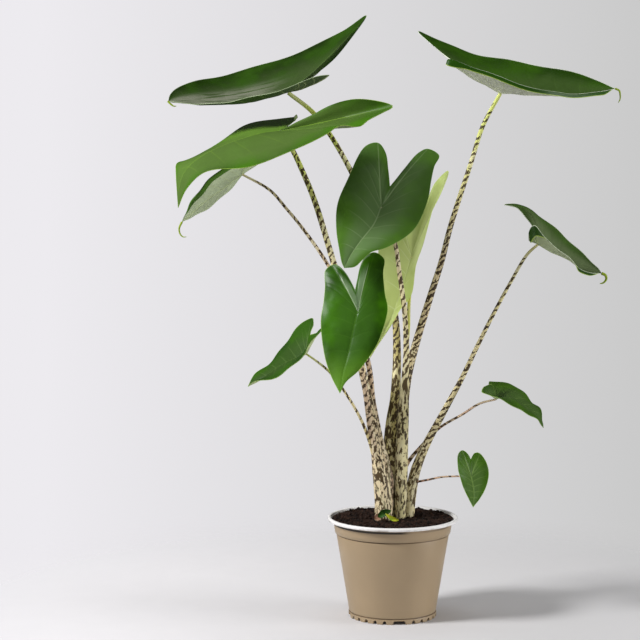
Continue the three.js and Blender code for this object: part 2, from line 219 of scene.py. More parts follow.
def normalsOf(places, faces):
    # each point's direction: the sum of its faces' cross products, made one long
    a, b, c = places[faces].swapaxes(0, 1)
    across = np.cross(b - a, c - a)
    total = np.zeros_like(places)
    for corner in faces.T:
        np.add.at(total, corner, across)
    return unit(total)


def outward(places, faces):
    # faces of a closed shape, turned so that its volume is positive
    a, b, c = places[faces].swapaxes(0, 1)
    return faces if np.einsum("ij,ij->i", a, np.cross(b, c)).sum() > 0 else faces[:, ::-1]


def closedTube(places, rows, around, start, end):
    # rings of points joined into a tube, with a fan to a point at each end
    count, k = rows * around, np.arange(around)
    following, last = (k + 1) % around, count - around
    faces = np.concatenate([gridFaces(rows, around, True),
                            np.stack([np.full(around, count), following, k], 1),
                            np.stack([np.full(around, count + 1), last + k, last + following], 1)])
    places = np.vstack([places, start, end])
    return places, outward(places - places.mean(0), faces)


def makePiece(name, places, faces, values=None, materials=(), which=None, sharp=55):
    # values go on the points, and which numbers the material of each face
    mesh = bpy.data.meshes.new(name)
    mesh.from_pydata(places * 0.001, [], faces)
    if which is not None:
        mesh.polygons.foreach_set("material_index", which.astype(np.int32))
    mesh.polygons.foreach_set("use_smooth", np.ones(len(faces), bool))
    kinds = {1: ("FLOAT", "value"), 3: ("FLOAT_VECTOR", "vector"), 4: ("FLOAT_COLOR", "color")}
    for key, value in (values or {}).items():
        kind, field = kinds[value.size // len(places)]
        flat = value.astype(np.float32).ravel()
        mesh.attributes.new(key, kind, "POINT").data.foreach_set(field, flat)
    for material in materials:
        mesh.materials.append(material)
    mesh.set_sharp_from_angle(angle=math.radians(sharp))
    piece = bpy.data.objects.new(name, mesh)
    bpy.context.scene.collection.objects.link(piece)
    return piece


def enrol(piece, slot, replaced=None):
    # the plant and its pot are one body; the crumbs replace no node of the solids
    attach(piece, "root")
    if replaced:
        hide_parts(replaced)


def curveAt(points, station):
    # cubic pieces through the points; station counts points, and each point's slope is that of
    # the parabola through it and its neighbours, over knots a root of the chord apart
    p = np.asarray(points, float)
    knot = np.r_[0, np.cumsum(np.sqrt(np.linalg.norm(np.diff(p[:, :3], axis=0), axis=1)))]
    slope = np.gradient(p, knot, axis=0)
    i = np.clip(station.astype(int), 0, len(p) - 2)
    w = (station - i)[:, None]
    h = (knot[i + 1] - knot[i])[:, None]
    return (p[i] * (1 + 2 * w) * (1 - w) ** 2 + p[i + 1] * w * w * (3 - 2 * w)
            + h * (slope[i] * w * (1 - w) ** 2 + slope[i + 1] * w * w * (w - 1)))


def spaced(points, share, stations=None):
    # places along the smooth curve at the given shares of its run; stations pairs shares with
    # the numbers of points that they fall on
    last, steps = len(points) - 1, 32
    station = np.linspace(0, last, steps * last + 1)
    fine = curveAt(points, station)
    run = np.r_[0, np.cumsum(np.linalg.norm(np.diff(fine[:, :3], axis=0), axis=1))]
    shares, numbers = zip(*(stations or [(0, 0), (1, last)]))
    want = np.interp(share, shares, np.interp(numbers, station, run))
    return np.stack([np.interp(want, run, column) for column in fine.T], 1)


def lattice(points, size, seed):
    # smooth noise from -1 to 1: random values on a cubic lattice, blended between its corners
    side = 32
    table = np.random.default_rng(seed).uniform(-1, 1, (side, side, side))
    base = np.floor(points / size).astype(int)
    near = smooth(points / size - base)
    total = 0
    for corner in np.ndindex(2, 2, 2):
        weight = np.where(corner, near, 1 - near).prod(axis=1)
        total = total + weight * table[tuple((base + corner).T % side)]
    return total


def lumpy(points, lumps):
    # a sum of such noise, each with its height, the size of its lumps and its seed
    return sum(height * lattice(points, size, seed) for height, size, seed in lumps)


# ---- leaf blades
# junction: where the petiole meets the blade. sinus: the notch between the lobes. apex: the tip.
# first and second: the two sides of the margin, from the notch round one lobe to the apex and
# back round the other. tips: how many points from the notch each lobe's tip is. rib: the midrib
# between junction and apex. lobeRib: the points of a bent rib in the second side's lobe, before
# its tip. bulge: how far the middle of each half rises. tail: the drip tip beyond the apex.
# flaps: strips of margin that curl over, each on one side, widening and narrowing between two
# shares of the margin's run, so many millimetres wide and turned so many degrees towards the
# underside, or the top where negative; way: the strip hangs straight that way instead.

anyLook = dict(                  # a look's own values replace these
    bloomTo=(0.75, 1.35), edgeTo=(0.25, 0.75), stripShade="263c10", funnelSheen="6c8260",
    crestHighlight="a9ba98", tip="8ea32c", rollEdge="a4bc54", underVein="c2cf8e",
)

leafLooks = dict(
    dark=dict(deep="152a00", fresh="264604", bloom="3c4f26", vein="5f7a3c", edge="a3b28c",
              under="4c6038", lines=0.1, ribs=0.3, strip=2.6, sheen="7c7e6e", rough=0.42),
    bright=dict(deep="2a4e04", fresh="3a6804", bloom="50682e", vein="7a9c34", edge="92ae4c",
                # its bloom spreads wider: partly the blade's own grey bloom, partly a painted
                # sheen on its upper part
                under="8ea36c", lines=0.15, ribs=0.5, bloomTo=(1.0, 1.6), farLight="6f9a30",
                rough=0.46),
    grey=dict(deep="3a5a1c", fresh="4a7220", bloom="5c7648", vein="94a97a", edge="6c9040",
              under="bac8a2", lines=0.2, ribs=0.5, rough=0.5),
    folded=dict(deep="34481c", fresh="426024", bloom="66764f", vein="7c9060", edge="d2dcc0",
                under="b9c79c", lines=0.12, ribs=0.2, edgeTo=(0.3, 0.9), roll="20400c", rough=0.5),
    plain=dict(deep="30500c", fresh="446a16", bloom="48622e", vein="7c9850", edge="8aa850",
               under="b0bd90", lines=0.22, ribs=0.4, rough=0.42),
    low=dict(deep="22440c", fresh="335c0c", bloom="36501e", vein="6a8648", edge="8aa850",
             under="b0bd90", lines=0.2, ribs=0.35, rough=0.42),
    glossy=dict(deep="183600", fresh="3a6c06", bloom="38601a", vein="547c2c", edge="8bae4c",
                under="8fa573", lines=0.14, ribs=0.3, fold=0.262, point="6c9c30", rough=0.34),
    upper=dict(deep="1c3802", fresh="2e5206", bloom="3e5624", vein="5c7a36", edge="d4ddc6",
               # the underside is its own pale colour, lifted almost to white by painted light that
               # stands in for light passing through the blade and thrown up from below
               under="e8eed6", lines=0.12, ribs=0.3, edgeTo=(0.4, 1.1), roll="244a06", rough=0.4),
    pale=dict(deep="b0c468", fresh="d2e092", bloom="c0ce7e", vein="e2eab8", edge="d9e496",
              under="bccc84", lines=0.3, ribs=0.3, rough=0.45),
)

blades = dict(
    upper_left=dict(
        junction=[-112, 563, 40], sinus=[-96, 572, 45], apex=[-240, 553, 45], bulge=-4,
        first=[[-77, 586, 80], [-59, 603, 95], [-29, 643, 112], [-55, 627, 120], [-99, 605, 125],
               [-174, 582, 120], [-213, 573.5, 86], [-231, 567, 66], [-238, 560, 54]],
        second=[[-200, 550, 22], [-158, 556, -10], [-110, 568, -32], [-81, 580, -42],
                [-69, 581, -42], [-78, 575, -18]],
        tips=(3, 2), rib=[[-134, 557, 38], [-156, 552, 38], [-201, 550, 42]],
        tail=[[-237, 550, 44], [-234, 548, 43], [-231, 548, 42]], look="dark"),
    left_drooping=dict(
        junction=[-121, 522, -27], sinus=[-111, 523, -12], apex=[-230, 440, -42], bulge=-1,
        first=[[-112, 528, 25], [-103, 536, 78], [-122, 535, 93], [-159, 527, 83], [-197, 502, 48],
               [-222, 491, 12], [-231, 487, 0], [-232, 476, -14]],
        second=[[-221, 460, -52], [-203, 477, -72], [-155, 484, -102], [-123, 494, -117],
                [-71, 519, -127], [-57, 527, -126], [-36, 526, -124], [-27, 533, -120],
                [-13, 541, -112], [-1, 548, -107], [-36, 555, -92], [-70, 548, -67],
                [-99, 528, -32]],
        tips=(2, 4), rib=[[-140, 520, -22], [-158, 515, -18], [-180, 507, -16], [-203, 496, -18],
                          [-220, 482, -24], [-229, 461, -32]],
        flaps=[dict(side=0, rise=(0.17, 0.24), fall=(0.26, 0.31), width=6, turn=-140)],
        look="bright"),
    left_small=dict(
        junction=[-161, 476, 10], sinus=[-153, 484, 18], apex=[-226, 425, 5], bulge=2,
        first=[[-140, 490, 52], [-157, 478, 62], [-174, 460, 60], [-193, 443, 48],
               [-209, 433, 30]],
        second=[[-215, 448, -8], [-192, 475, -15], [-178, 484, -15], [-155, 491, -10],
                [-155, 487, 4]],
        flaps=[dict(side=1, rise=(0.18, 0.4), fall=(0.72, 1.0), width=7, turn=150)],
        tips=(1, 2), rib=[[-183, 460, 12], [-206, 443, 10]],
        tail=[[-229, 418, 4], [-228, 412, 3], [-225, 409, 2], [-221, 409, 1]], look="grey"),
    upper_right=dict(
        junction=[112, 562, 30], sinus=[98, 575, 35], apex=[233, 566, 55], bulge=-2.5,
        first=[[62, 590, -28], [58, 597, -42], [91, 586, -42], [120, 575, -42], [143, 568, -38],
               [165, 563, -28], [201, 561, 8]],
        second=[[201, 580, 74], [159, 589, 80], [122, 596, 88], [84, 603, 92], [54, 614, 92],
                [25, 627, 88], [38, 613, 75], [60, 597, 60]],
        flaps=[dict(side=0, rise=(0.25, 0.28), fall=(0.29, 0.37), width=4.5, turn=95),
               dict(side=0, rise=(0.25, 0.29), fall=(0.92, 1.0), width=4.8, turn=95)],
        tips=(2, 3), rib=[[143, 560, 32], [175, 559, 38], [206, 561, 46]],
        tail=[[237, 564, 56], [238, 560, 56], [238, 555, 56], [236, 551, 56]], look="upper"),
    right_folded=dict(
        junction=[153, 402, 10], sinus=[150, 410, 6], apex=[221, 371, 5], bulge=-0.5,
        first=[[144, 406, -22], [144, 417, -38], [150, 422, -42], [161, 408, -42], [176, 396, -38],
               [189, 385, -30], [203, 373, -14]],
        second=[[217, 377, 14], [203, 390, 26], [187, 405, 34], [169, 421, 38], [145, 438, 38],
                [128, 445, 34], [117, 444, 30], [128, 441, 27], [139, 432, 14], [147, 421, 8]],
        flaps=[dict(side=0, rise=(0.24, 0.28), fall=(0.28, 0.47), width=14, way=(0.1, -0.25, -1)),
               dict(side=0, rise=(0.70, 0.80), fall=(0.88, 1.0), width=4, turn=95)],
        tips=(2, 4), rib=[[164, 396, 9], [185, 386, 8], [203, 377, 7]],
        lobeRib=[[152, 415, 12], [144, 430, 24], [132, 441, 29]],
        tail=[[225, 369, 5], [226, 365, 5], [223, 361, 5], [219, 360, 5]],
        tailHalf=2.0, look="folded"),
    lower_right=dict(
        junction=[110, 236, -20], sinus=[105, 251.5, -24], apex=[161, 205, -26], bulge=2,
        first=[[101, 251, -38], [96, 248, -48], [94.5, 243.5, -53], [102, 241, -58],
               [118, 234, -62], [138, 223, -55], [154, 214, -40]],
        second=[[160, 213, -14], [156.5, 227, 0], [148, 233, 8], [138, 245, 16], [125, 252, 18],
                [104, 255, 12], [102, 253, 2]],
        tips=(3, 2), rib=[[122, 241, -18], [136, 232, -20], [153, 219, -23]], look="plain"),
    small_heart=dict(
        junction=[84, 152, -15], sinus=[83.5, 170.5, -6], apex=[86.5, 118, -32], bulge=1.5,
        first=[[80, 177, -2], [74, 180, 1], [70, 176, -1], [70, 161, -8], [72.5, 150, -13],
               [77, 137, -20]],
        second=[[98, 135, -22], [103, 153, -12], [101.5, 164, -6], [93.5, 177, 1], [87.5, 177, 0]],
        tips=(2, 2), rib=[[87, 137, -21]], look="plain"),
    lower_left=dict(
        junction=[-93, 284, -30], sinus=[-89, 304, -22], apex=[-156, 248, -22], bulge=2,
        first=[[-86, 322, 5], [-97, 318, 12], [-114, 297, 10], [-133, 273, -2], [-150, 260, -12]],
        second=[[-149, 254, -34], [-130, 256, -48], [-114, 266, -58], [-98, 280, -62],
                [-88, 296, -62], [-75, 312, -55], [-82, 307, -38]],
        tips=(1, 2), rib=[[-105, 279, -26], [-121, 271, -24], [-141, 257, -22]], look="low"),
    middle_heart=dict(
        junction=[-13, 442, -50], sinus=[-4, 463, -42], apex=[-52.5, 376, -86], bulge=5,
        first=[[-6, 482, -30], [-9, 499, -18], [-17, 509, -12], [-30, 506, -14], [-47, 475, -30],
               [-60, 443, -48], [-61, 417, -62], [-58, 396, -74], [-55, 381, -83]],
        second=[[-41, 377.5, -85], [-33, 385, -82], [-24, 393, -80], [-7, 398, -76],
                [22, 418, -64], [36, 448, -47], [39.5, 468, -37], [43, 484, -28], [48, 496, -20],
                [36, 503, -16], [27, 499, -18], [12, 483, -28], [1, 469, -38]],
        tips=(3, 4), rib=[[-21, 423, -58], [-35, 405, -67], [-46, 389, -77]], look="grey"),
    lower_heart=dict(
        junction=[-38, 330, -82], sinus=[-41, 353, -74], apex=[-57, 241, -112], bulge=4,
        first=[[-51, 371, -64], [-60, 379, -58], [-66, 379, -56], [-73, 373, -58], [-73, 356, -66],
               [-74.5, 340, -73], [-77.5, 321, -81], [-74, 284, -96], [-67, 261, -104]],
        second=[[-51, 253, -108], [-36, 267, -104], [-22, 286, -98], [-14, 302, -92],
                [-6, 332, -80], [-9, 349, -72], [-11, 371, -62], [-10, 386, -54], [-20, 393, -50],
                [-29, 389, -52], [-35, 379, -58], [-39, 362, -68]],
        tips=(3, 4), rib=[[-42, 313, -88], [-48, 286, -97], [-54, 262, -106]], look="glossy"),
    pale_young=dict(
        junction=[19, 389, 4], sinus=[20, 430, 17], apex=[-25, 279, -22], bulge=3,
        first=[[8, 443, 18], [-1, 465, 22], [-10, 443, 16], [-15, 411, 6], [-17, 383, -2],
               [-21, 352, -8], [-25, 315, -14]],
        second=[[-14, 297, -18], [-2, 315, -14], [7, 331, -10], [19, 347, -6], [24, 379, 4],
                [31, 400, 10], [43, 443, 20], [51, 458, 24], [58, 480, 30], [44, 467, 26],
                [28, 432, 18]],
        tips=(2, 3), rib=[[9, 355, -4], [-4, 318, -12]], look="pale"),
)

bladeBuild = dict(               # a blade's own values replace these
    along=120, across=26, thickness=0.5, flaps=(), tail=(), lobeRib=None,
    lobeShare=0.28, lobeEnd=0.7,    # where along each side the lobe's tip comes and its bend ends
    ribStart=0.40, climb=1.2,       # from here on the side's veins leave the midrib
    ribEnd=1.5,                     # added to the distance from the junction before that
    laterals=(0.37, 0.45, 0.54, 0.64, 0.74, 0.84),
    sweep=0.035,                    # how far a side vein bends towards the apex
    forks=(0.3, 0.6), spread=0.16,  # where veins leave the lobe's rib, and how wide they go
    ribDepth=0.22, ribWidth=1.1, veinDepth=0.14, veinWidth=1.1, keel=0.9, keelWidth=1.3,
    lumps=((0.5, 14, 5), (0.2, 6, 6)),
    grooveFull=3, keelFull=10, lumpsFull=12,  # so far in from the edge each has its full height
    lean=0.6, leanFull=0.25,        # towards the margin a half rises more square to itself
    waves=5, waveHeight=0.6, waveShift=1.3, waveFull=0.12,  # of the margin, up and down
    flapSteps=9, flapBend=1.1,      # columns in a curled strip, and the radius that it turns on
    flapFrom=4, flapEven=5,         # columns, and neighbours along it, that give its direction
    tailHalf=1.35, tailRows=22, tailAround=12, tailThin=0.45, tailSection=(0.8, 1.3),
    beyond=99,                      # the distance from a vein where there is none
    tailNotes=dict(share=0.93, speed=99, midrib=99, line=99, reach=2),
)


def bladeHalf(b, names, tip, lobeRib, share, across):
    # one half of the middle surface: points on straight lines from the rib to the margin, with
    # the lobe's part drawn along the lobe's own rib
    margin = spaced(spot(names), share, [(0, 0), (b["lobeShare"], tip), (1, len(names) - 1)])
    rib = spot([b["junction"], *b["rib"], b["apex"]])
    climb = np.clip((share - b["ribStart"]) / (1 - b["ribStart"]), 0, 1) ** b["climb"]
    spine = spaced(rib, climb)
    surface = spine[:, None] + across[None, :, None] * (margin - spine)[:, None]
    if lobeRib:
        bent = spaced(spot([b["junction"], *lobeRib, names[tip]]), across)
        straight = rib[0] + across[:, None] * (spot(names)[tip] - rib[0])
        near = smooth(share, 0, b["lobeShare"]) * (1 - smooth(share, b["lobeShare"], b["lobeEnd"]))
        surface = surface + near[:, None, None] * (bent - straight)[None]
    return margin, spine, surface


def curled(b, surface, up, side, share, steps):
    # further columns past the margin: a turn of small radius, then straight on; and the width
    # of the strip at each step along the margin
    margin = surface[:, -1]
    out = unit(margin - surface[:, -1 - b["flapFrom"]])
    over = unit(np.cross(out, np.gradient(margin, axis=0)))
    over = over * np.sign(over @ up)[:, None] + 0.5 * up
    even = b["flapEven"]
    mean = np.ones(2 * even + 1) / (2 * even + 1)
    over = unit(np.stack([np.convolve(np.pad(column, even, "edge"), mean, "valid")
                          for column in over.T], 1))
    out = unit(out - np.einsum("ij,ij->i", out, over)[:, None] * over)
    strip = np.repeat(margin[:, None], len(steps), axis=1)
    total = np.zeros((len(share), 1))
    for flap in b["flaps"]:
        if flap["side"] != side:
            continue
        width = flap["width"] * smooth(share, *flap["rise"]) * (1 - smooth(share, *flap["fall"]))
        total = total + width[:, None]
        run = (steps * width[:, None])[..., None]
        if "way" in flap:
            strip = strip + run * unit(np.array(flap["way"], float))
            continue
        bend, way = b["flapBend"], -np.sign(flap["turn"])
        angle = np.minimum(run / bend, math.radians(abs(flap["turn"])))
        rest = run - angle * bend
        strip = strip + (bend * np.sin(angle) + rest * np.cos(angle)) * out[:, None]
        strip = strip + (bend * (1 - np.cos(angle)) + rest * np.sin(angle)) * way * over[:, None]
    return strip, total


def veinsNear(share, out, speed, midrib, least, most):
    # millimetres from the nearest side vein, a lobe's rib and the nearest rib of all, for arrays
    # and for sockets alike
    b = bladeBuild
    fromLobe = abs(share - b["lobeShare"])
    gaps = [abs(fromLobe - most(out - at, 0.0) * b["spread"]) for at in b["forks"]]
    gaps += [abs(share - out * out * b["sweep"] - at) for at in b["laterals"]]
    lobe = fromLobe * speed
    return functools.reduce(least, gaps) * speed, lobe, least(midrib, lobe)


def bladeArrays(b):
    # the middle surface of both halves and what is known at each of its points: distances in
    # millimetres from the ribs, the side veins, the free edge, the margin's line and the midrib;
    # reach, how far it is from the junction; its shares along (share) and across (out); speed,
    # the millimetres for one share; and which half it is in
    share, out = np.linspace(0, 1, b["along"]), np.linspace(0, 1, b["across"])
    s, o = share[:, None], out[None, :]
    steps = np.arange(1, b["flapSteps"] + 1) / b["flapSteps"]
    sides = [[b["sinus"], *b["first"], b["apex"]], [b["sinus"], *b["second"][::-1], b["apex"]]]
    halves = [bladeHalf(b, side, tip, lobeRib, share, out)
              for side, tip, lobeRib in zip(sides, b["tips"], (None, b["lobeRib"]))]
    widths = [np.linalg.norm(margin - spine, axis=1) for margin, spine, _ in halves]
    widest = max(width.max() for width in widths)
    turns = []
    for sign, (margin, spine, _) in zip((1, -1), halves):
        across = margin - spine
        turns.append(sign * np.cross(across[:-1], across[1:]).sum(0))
    up = unit(sum(turns))
    places, known = [], []
    for half, (_, spine, surface) in enumerate(halves):
        width = widths[half][:, None]
        lean = (b["lean"] * smooth(o) * smooth(s, 0, b["leanFull"]))[..., None]
        lift = up * (1 - lean) + unit(turns[half]) * lean
        wave = np.sin(2 * np.pi * b["waves"] * s + b["waveShift"] * half)
        wave = wave * smooth(np.minimum(s, 1 - s), 0, b["waveFull"])
        rise = b["bulge"] * (width / widest) * (4 * o * (1 - o)) + b["waveHeight"] * wave * o ** 3
        surface = surface + lift * rise[..., None]
        speed = np.linalg.norm(np.gradient(surface, share, axis=0), axis=2)
        fromJunction = np.linalg.norm(surface - spine[0], axis=2)
        # before the midrib starts there is only its end
        midrib = np.where(s >= b["ribStart"], o * width, fromJunction + b["ribEnd"])
        vein, _, rib = veinsNear(s, o, speed, midrib, np.minimum, np.maximum)
        strip, extra = curled(b, surface, up, half, share, steps)
        line, past = (1 - o) * width, steps * extra
        # each value on the blade, and on a curled strip
        both = dict(rib=(rib, b["beyond"]), vein=(vein, b["beyond"]),
                    edge=(line + extra, extra - past), reach=(fromJunction / widest, 1),
                    share=(s, s), out=(o, 1), speed=(speed, speed[:, -1:]), line=(line, past),
                    half=(half, half), midrib=(midrib, b["beyond"]))
        known.append({key: np.hstack([inner + 0 * speed, outer + 0 * past]).ravel()
                      for key, (inner, outer) in both.items()})
        places.append(np.concatenate([surface, strip], axis=1).reshape(-1, 3))
    count, columns = len(places[0]), b["across"] + b["flapSteps"]
    places = np.concatenate(places)
    faces = gridFaces(b["along"], columns)
    first, faces, number, _ = weld(places, np.concatenate([faces[:, ::-1], faces + count]))
    middle = places[first]
    notes = {key: np.concatenate([part[key] for part in known])[first] for key in known[0]}
    normal = normalsOf(middle, faces)
    if (normal @ up).sum() < 0:
        faces, normal = faces[:, ::-1], -normal
    ring = np.arange(b["along"]) * columns + columns - 1
    loop = number[np.concatenate([ring, (ring + count)[::-1]])]
    return middle, notes, faces, normal, loop[loop != np.roll(loop, 1)]


def tailArrays(b):
    # the drip tip: an oval section drawn along the curled path, thinning to a point
    rows, around = b["tailRows"], b["tailAround"]
    t = np.linspace(0, 1, rows)
    path = spaced(spot([b["apex"], *b["tail"]]), t)
    along = unit(np.gradient(path, axis=0))
    side = unit(np.cross(along, [0, 1, 0]))
    turn = anglesOf(around)[None, :, None]
    half = (b["tailHalf"] * (1 - t) ** b["tailThin"] + 0.1)[:, None, None]
    wide, deep = b["tailSection"]
    ring = (wide * np.cos(turn) * side[:, None]
            + deep * np.sin(turn) * np.cross(side, along)[:, None])
    return closedTube((path[:, None] + half * ring).reshape(-1, 3), rows, around,
                      path[0], path[-1])


def paintedVeins(r):
    # as in the mesh, but that a lobe's rib counts as a vein too
    known = map(r.measured, ("share", "out", "speed", "midrib"))
    vein, lobe, rib = veinsNear(*known, r.least, r.most)
    return r.least(vein, lobe), rib


def bladeTop(name, look):
    # a cloudy green, a greyer bloom near the rib, veins, what only some looks have, and a border
    r = Recipe(name)
    place = r.places()
    vein, rib = paintedVeins(r)
    share, out, reach, line, half = map(r.measured, ("share", "out", "reach", "line", "half"))
    cloud, blotch = r.noise(place, 22, 3, 0.55), r.noise(place, 85, 3, 0.6)
    r.colour = r.mix(r.ease(cloud, 0.36, 0.66), look["deep"], look["fresh"])
    r.coat(r.ease(blotch, 0.5, 0.8) * 0.3, look["fresh"])
    r.coat(r.fade(out + 0.9 * cloud, *look["bloomTo"], 0.8), look["bloom"])
    lines = r.fade(vein * (0.7 + 0.8 * out), 0.2, 0.75, look["lines"])
    lines = lines * r.fade(out + 0.3 * blotch, 0.5, 1.0)
    ribs = r.fade(rib * (0.45 + 0.8 * reach), 0.25, 0.75, look["ribs"])
    ribs = ribs * r.ease(reach, 0.4, 1.0, 1.0, 0.3)
    r.coat(r.most(lines, ribs), look["vein"])
    if "farLight" in look:
        # painted light: the far half is made a lighter green round its lobe, where the blade above
        # casts its shade
        r.coat(r.ease(share, 0.4, 0.75, 0.75, 0.1) * (1.0 - half), look["farLight"])
    if "strip" in look:
        # the near half's outermost strip is rolled up: painted shade darkens it and a painted
        # highlight runs along it as a light line; towards the apex, pale streaks are painted sheen
        off = line - look["strip"]
        r.coat(r.fade(off, -0.3, 0.3, 0.85) * half, look["stripShade"])
        r.coat(r.fade(abs(off), 0.25, 0.9, 0.85) * half, look["edge"])
        run = r.node("CombineXYZ", {0: share * 7.0, 1: out * 16.0, 2: half})
        streak = r.fade(r.noise(run, 1.0, 2, 0.6), 0.45, 0.68, 0.75)
        r.coat(streak * r.ease(share, 0.45, 0.66) * r.fade(out, 0.3, 0.62), look["sheen"])
    if "fold" in look:
        # between the lobes' ribs and the notch the blade is raised like a funnel; its smooth grey
        # is a painted sheen, and a painted highlight runs along its crest
        fold = look["fold"]
        inner = r.most(r.fade(out, 0.55, 0.85), r.fade(line, 2.5, 4.5))
        inside = r.fade(share, fold - 0.012, fold, 0.8) * inner
        r.coat(inside * r.ease(cloud, 0.25, 0.6, 0.6, 1.0), look["funnelSheen"])
        crestHighlight = r.fade(abs(share - fold) * r.measured("speed"), 0.2, 0.75, 0.6)
        r.coat(crestHighlight * r.fade(out, 0.55, 0.85), look["crestHighlight"])
    if "point" in look:
        r.coat(r.ease(share, 0.72, 0.95, 0.0, 0.6), look["point"])
    r.coat(r.ease(reach, 1.3, 1.6), look["tip"])
    if "roll" in look:
        # painted shade: the strip that is rolled over is made darker, as if shaded in the roll;
        # its free edge is yellow-green
        rolled = r.ease(out, 0.985, 1.0) * r.ease(line, 0.3, 0.9)
        r.coat(rolled * 0.85, look["roll"])
        r.coat(rolled * r.fade(r.measured("edge"), 0.3, 1.0, 0.8), look["rollEdge"])
    r.coat(r.fade(line, *look["edgeTo"], 0.8), look["edge"])
    rough = look["rough"] - 0.06 + 0.14 * r.noise(place, 60, 2)
    return r.finish(rough, r.bump(r.noise(place, 22, 1, 0.5), 0.25, 0.004), 0.17)


def bladeUnder(name, look):
    # a cloudy pale green with lighter veins
    r = Recipe(name)
    place = r.places()
    vein, rib = paintedVeins(r)
    cloud = r.noise(place, 40, 3, 0.55)
    under = look["under"]
    r.colour = r.mix(r.ease(cloud, 0.3, 0.7), paint(under, 0.88), paint(under, 1.08))
    lines = r.most(r.fade(vein, 0.2, 0.8, 0.35), r.fade(rib, 0.4, 1.3, 0.5))
    r.coat(lines, look["underVein"])
    return r.finish(0.5 + 0.12 * cloud, r.bump(r.noise(place, 26, 1), 0.2, 0.004), 0.2)


bladeMaterials = {key: (bladeTop("blade_" + key, {**anyLook, **look}),
                        bladeUnder("blade_under_" + key, {**anyLook, **look}))
                  for key, look in leafLooks.items()}


def makeBlade(name, blade):
    # the middle surface thickened both ways, grooved over the ribs and veins, keeled beneath
    b = {**bladeBuild, **blade}
    middle, notes, faces, normal, loop = bladeArrays(b)
    rib, vein, edge = notes.pop("rib"), notes.pop("vein"), notes["edge"]
    lumps = lumpy(middle, b["lumps"]) * smooth(edge, 0, b["lumpsFull"])
    middle = middle + normal * lumps[:, None]
    groove = b["ribDepth"] * np.exp(-(rib / b["ribWidth"]) ** 2)
    groove = groove + b["veinDepth"] * np.exp(-(vein / b["veinWidth"]) ** 2)
    groove = groove * smooth(edge, 0, b["grooveFull"])
    keel = b["keel"] * np.exp(-(rib / b["keelWidth"]) ** 2) * smooth(edge, 0, b["keelFull"])
    half, count = b["thickness"] / 2, len(middle)
    places = np.concatenate([middle + normal * (half - groove)[:, None],
                             middle - normal * (half + keel - 0.5 * groove)[:, None]])
    following = np.roll(loop, -1)
    rim = np.concatenate([np.stack([loop, following + count, following], 1),
                          np.stack([loop, loop + count, following + count], 1)])
    # the rim's faces run against the top's, whichever way the loop goes
    along = (faces == loop[0]) & (np.roll(faces, -1, axis=1) == following[0])
    if not along.any():
        rim = rim[:, ::-1]
    which = np.repeat([0, 1, 0], [len(faces), len(faces), len(rim)])
    faces = np.concatenate([faces, faces[:, ::-1] + count, rim])
    if b["tail"]:
        tailPlaces, tailFaces = tailArrays(b)
        faces = np.concatenate([faces, tailFaces + len(places)])
        places = np.concatenate([places, tailPlaces])
        which = np.r_[which, np.zeros(len(tailFaces), int)]
    spare = len(places) - 2 * count
    values = {key: np.r_[value, value, np.full(spare, b["tailNotes"].get(key, 0))]
              for key, value in notes.items()}
    piece = makePiece("blade_" + name, places, faces, values, bladeMaterials[b["look"]], which)
    enrol(piece, "leaf_pale" if b["look"] == "pale" else "leaf_green", "leaf_" + name)


for bladeName, bladeSpec in blades.items():
    makeBlade(bladeName, bladeSpec)
print("blades made:", len(blades))


# ---- stalks and sheathing bases
# Each run goes from under the blade down into the soil: x, z, back and the stalk's radius.
# top and foot are the ground colours at the two ends, cover the share of dark marks there, bare
# the distances from the blade between which the marks come in, patch how large the marks of its
# foot are, wrap how far the sheath's edge stands out, as a share of the radius, and seam where
# that edge is at the foot, as an angle, and how much it turns with every millimetre.

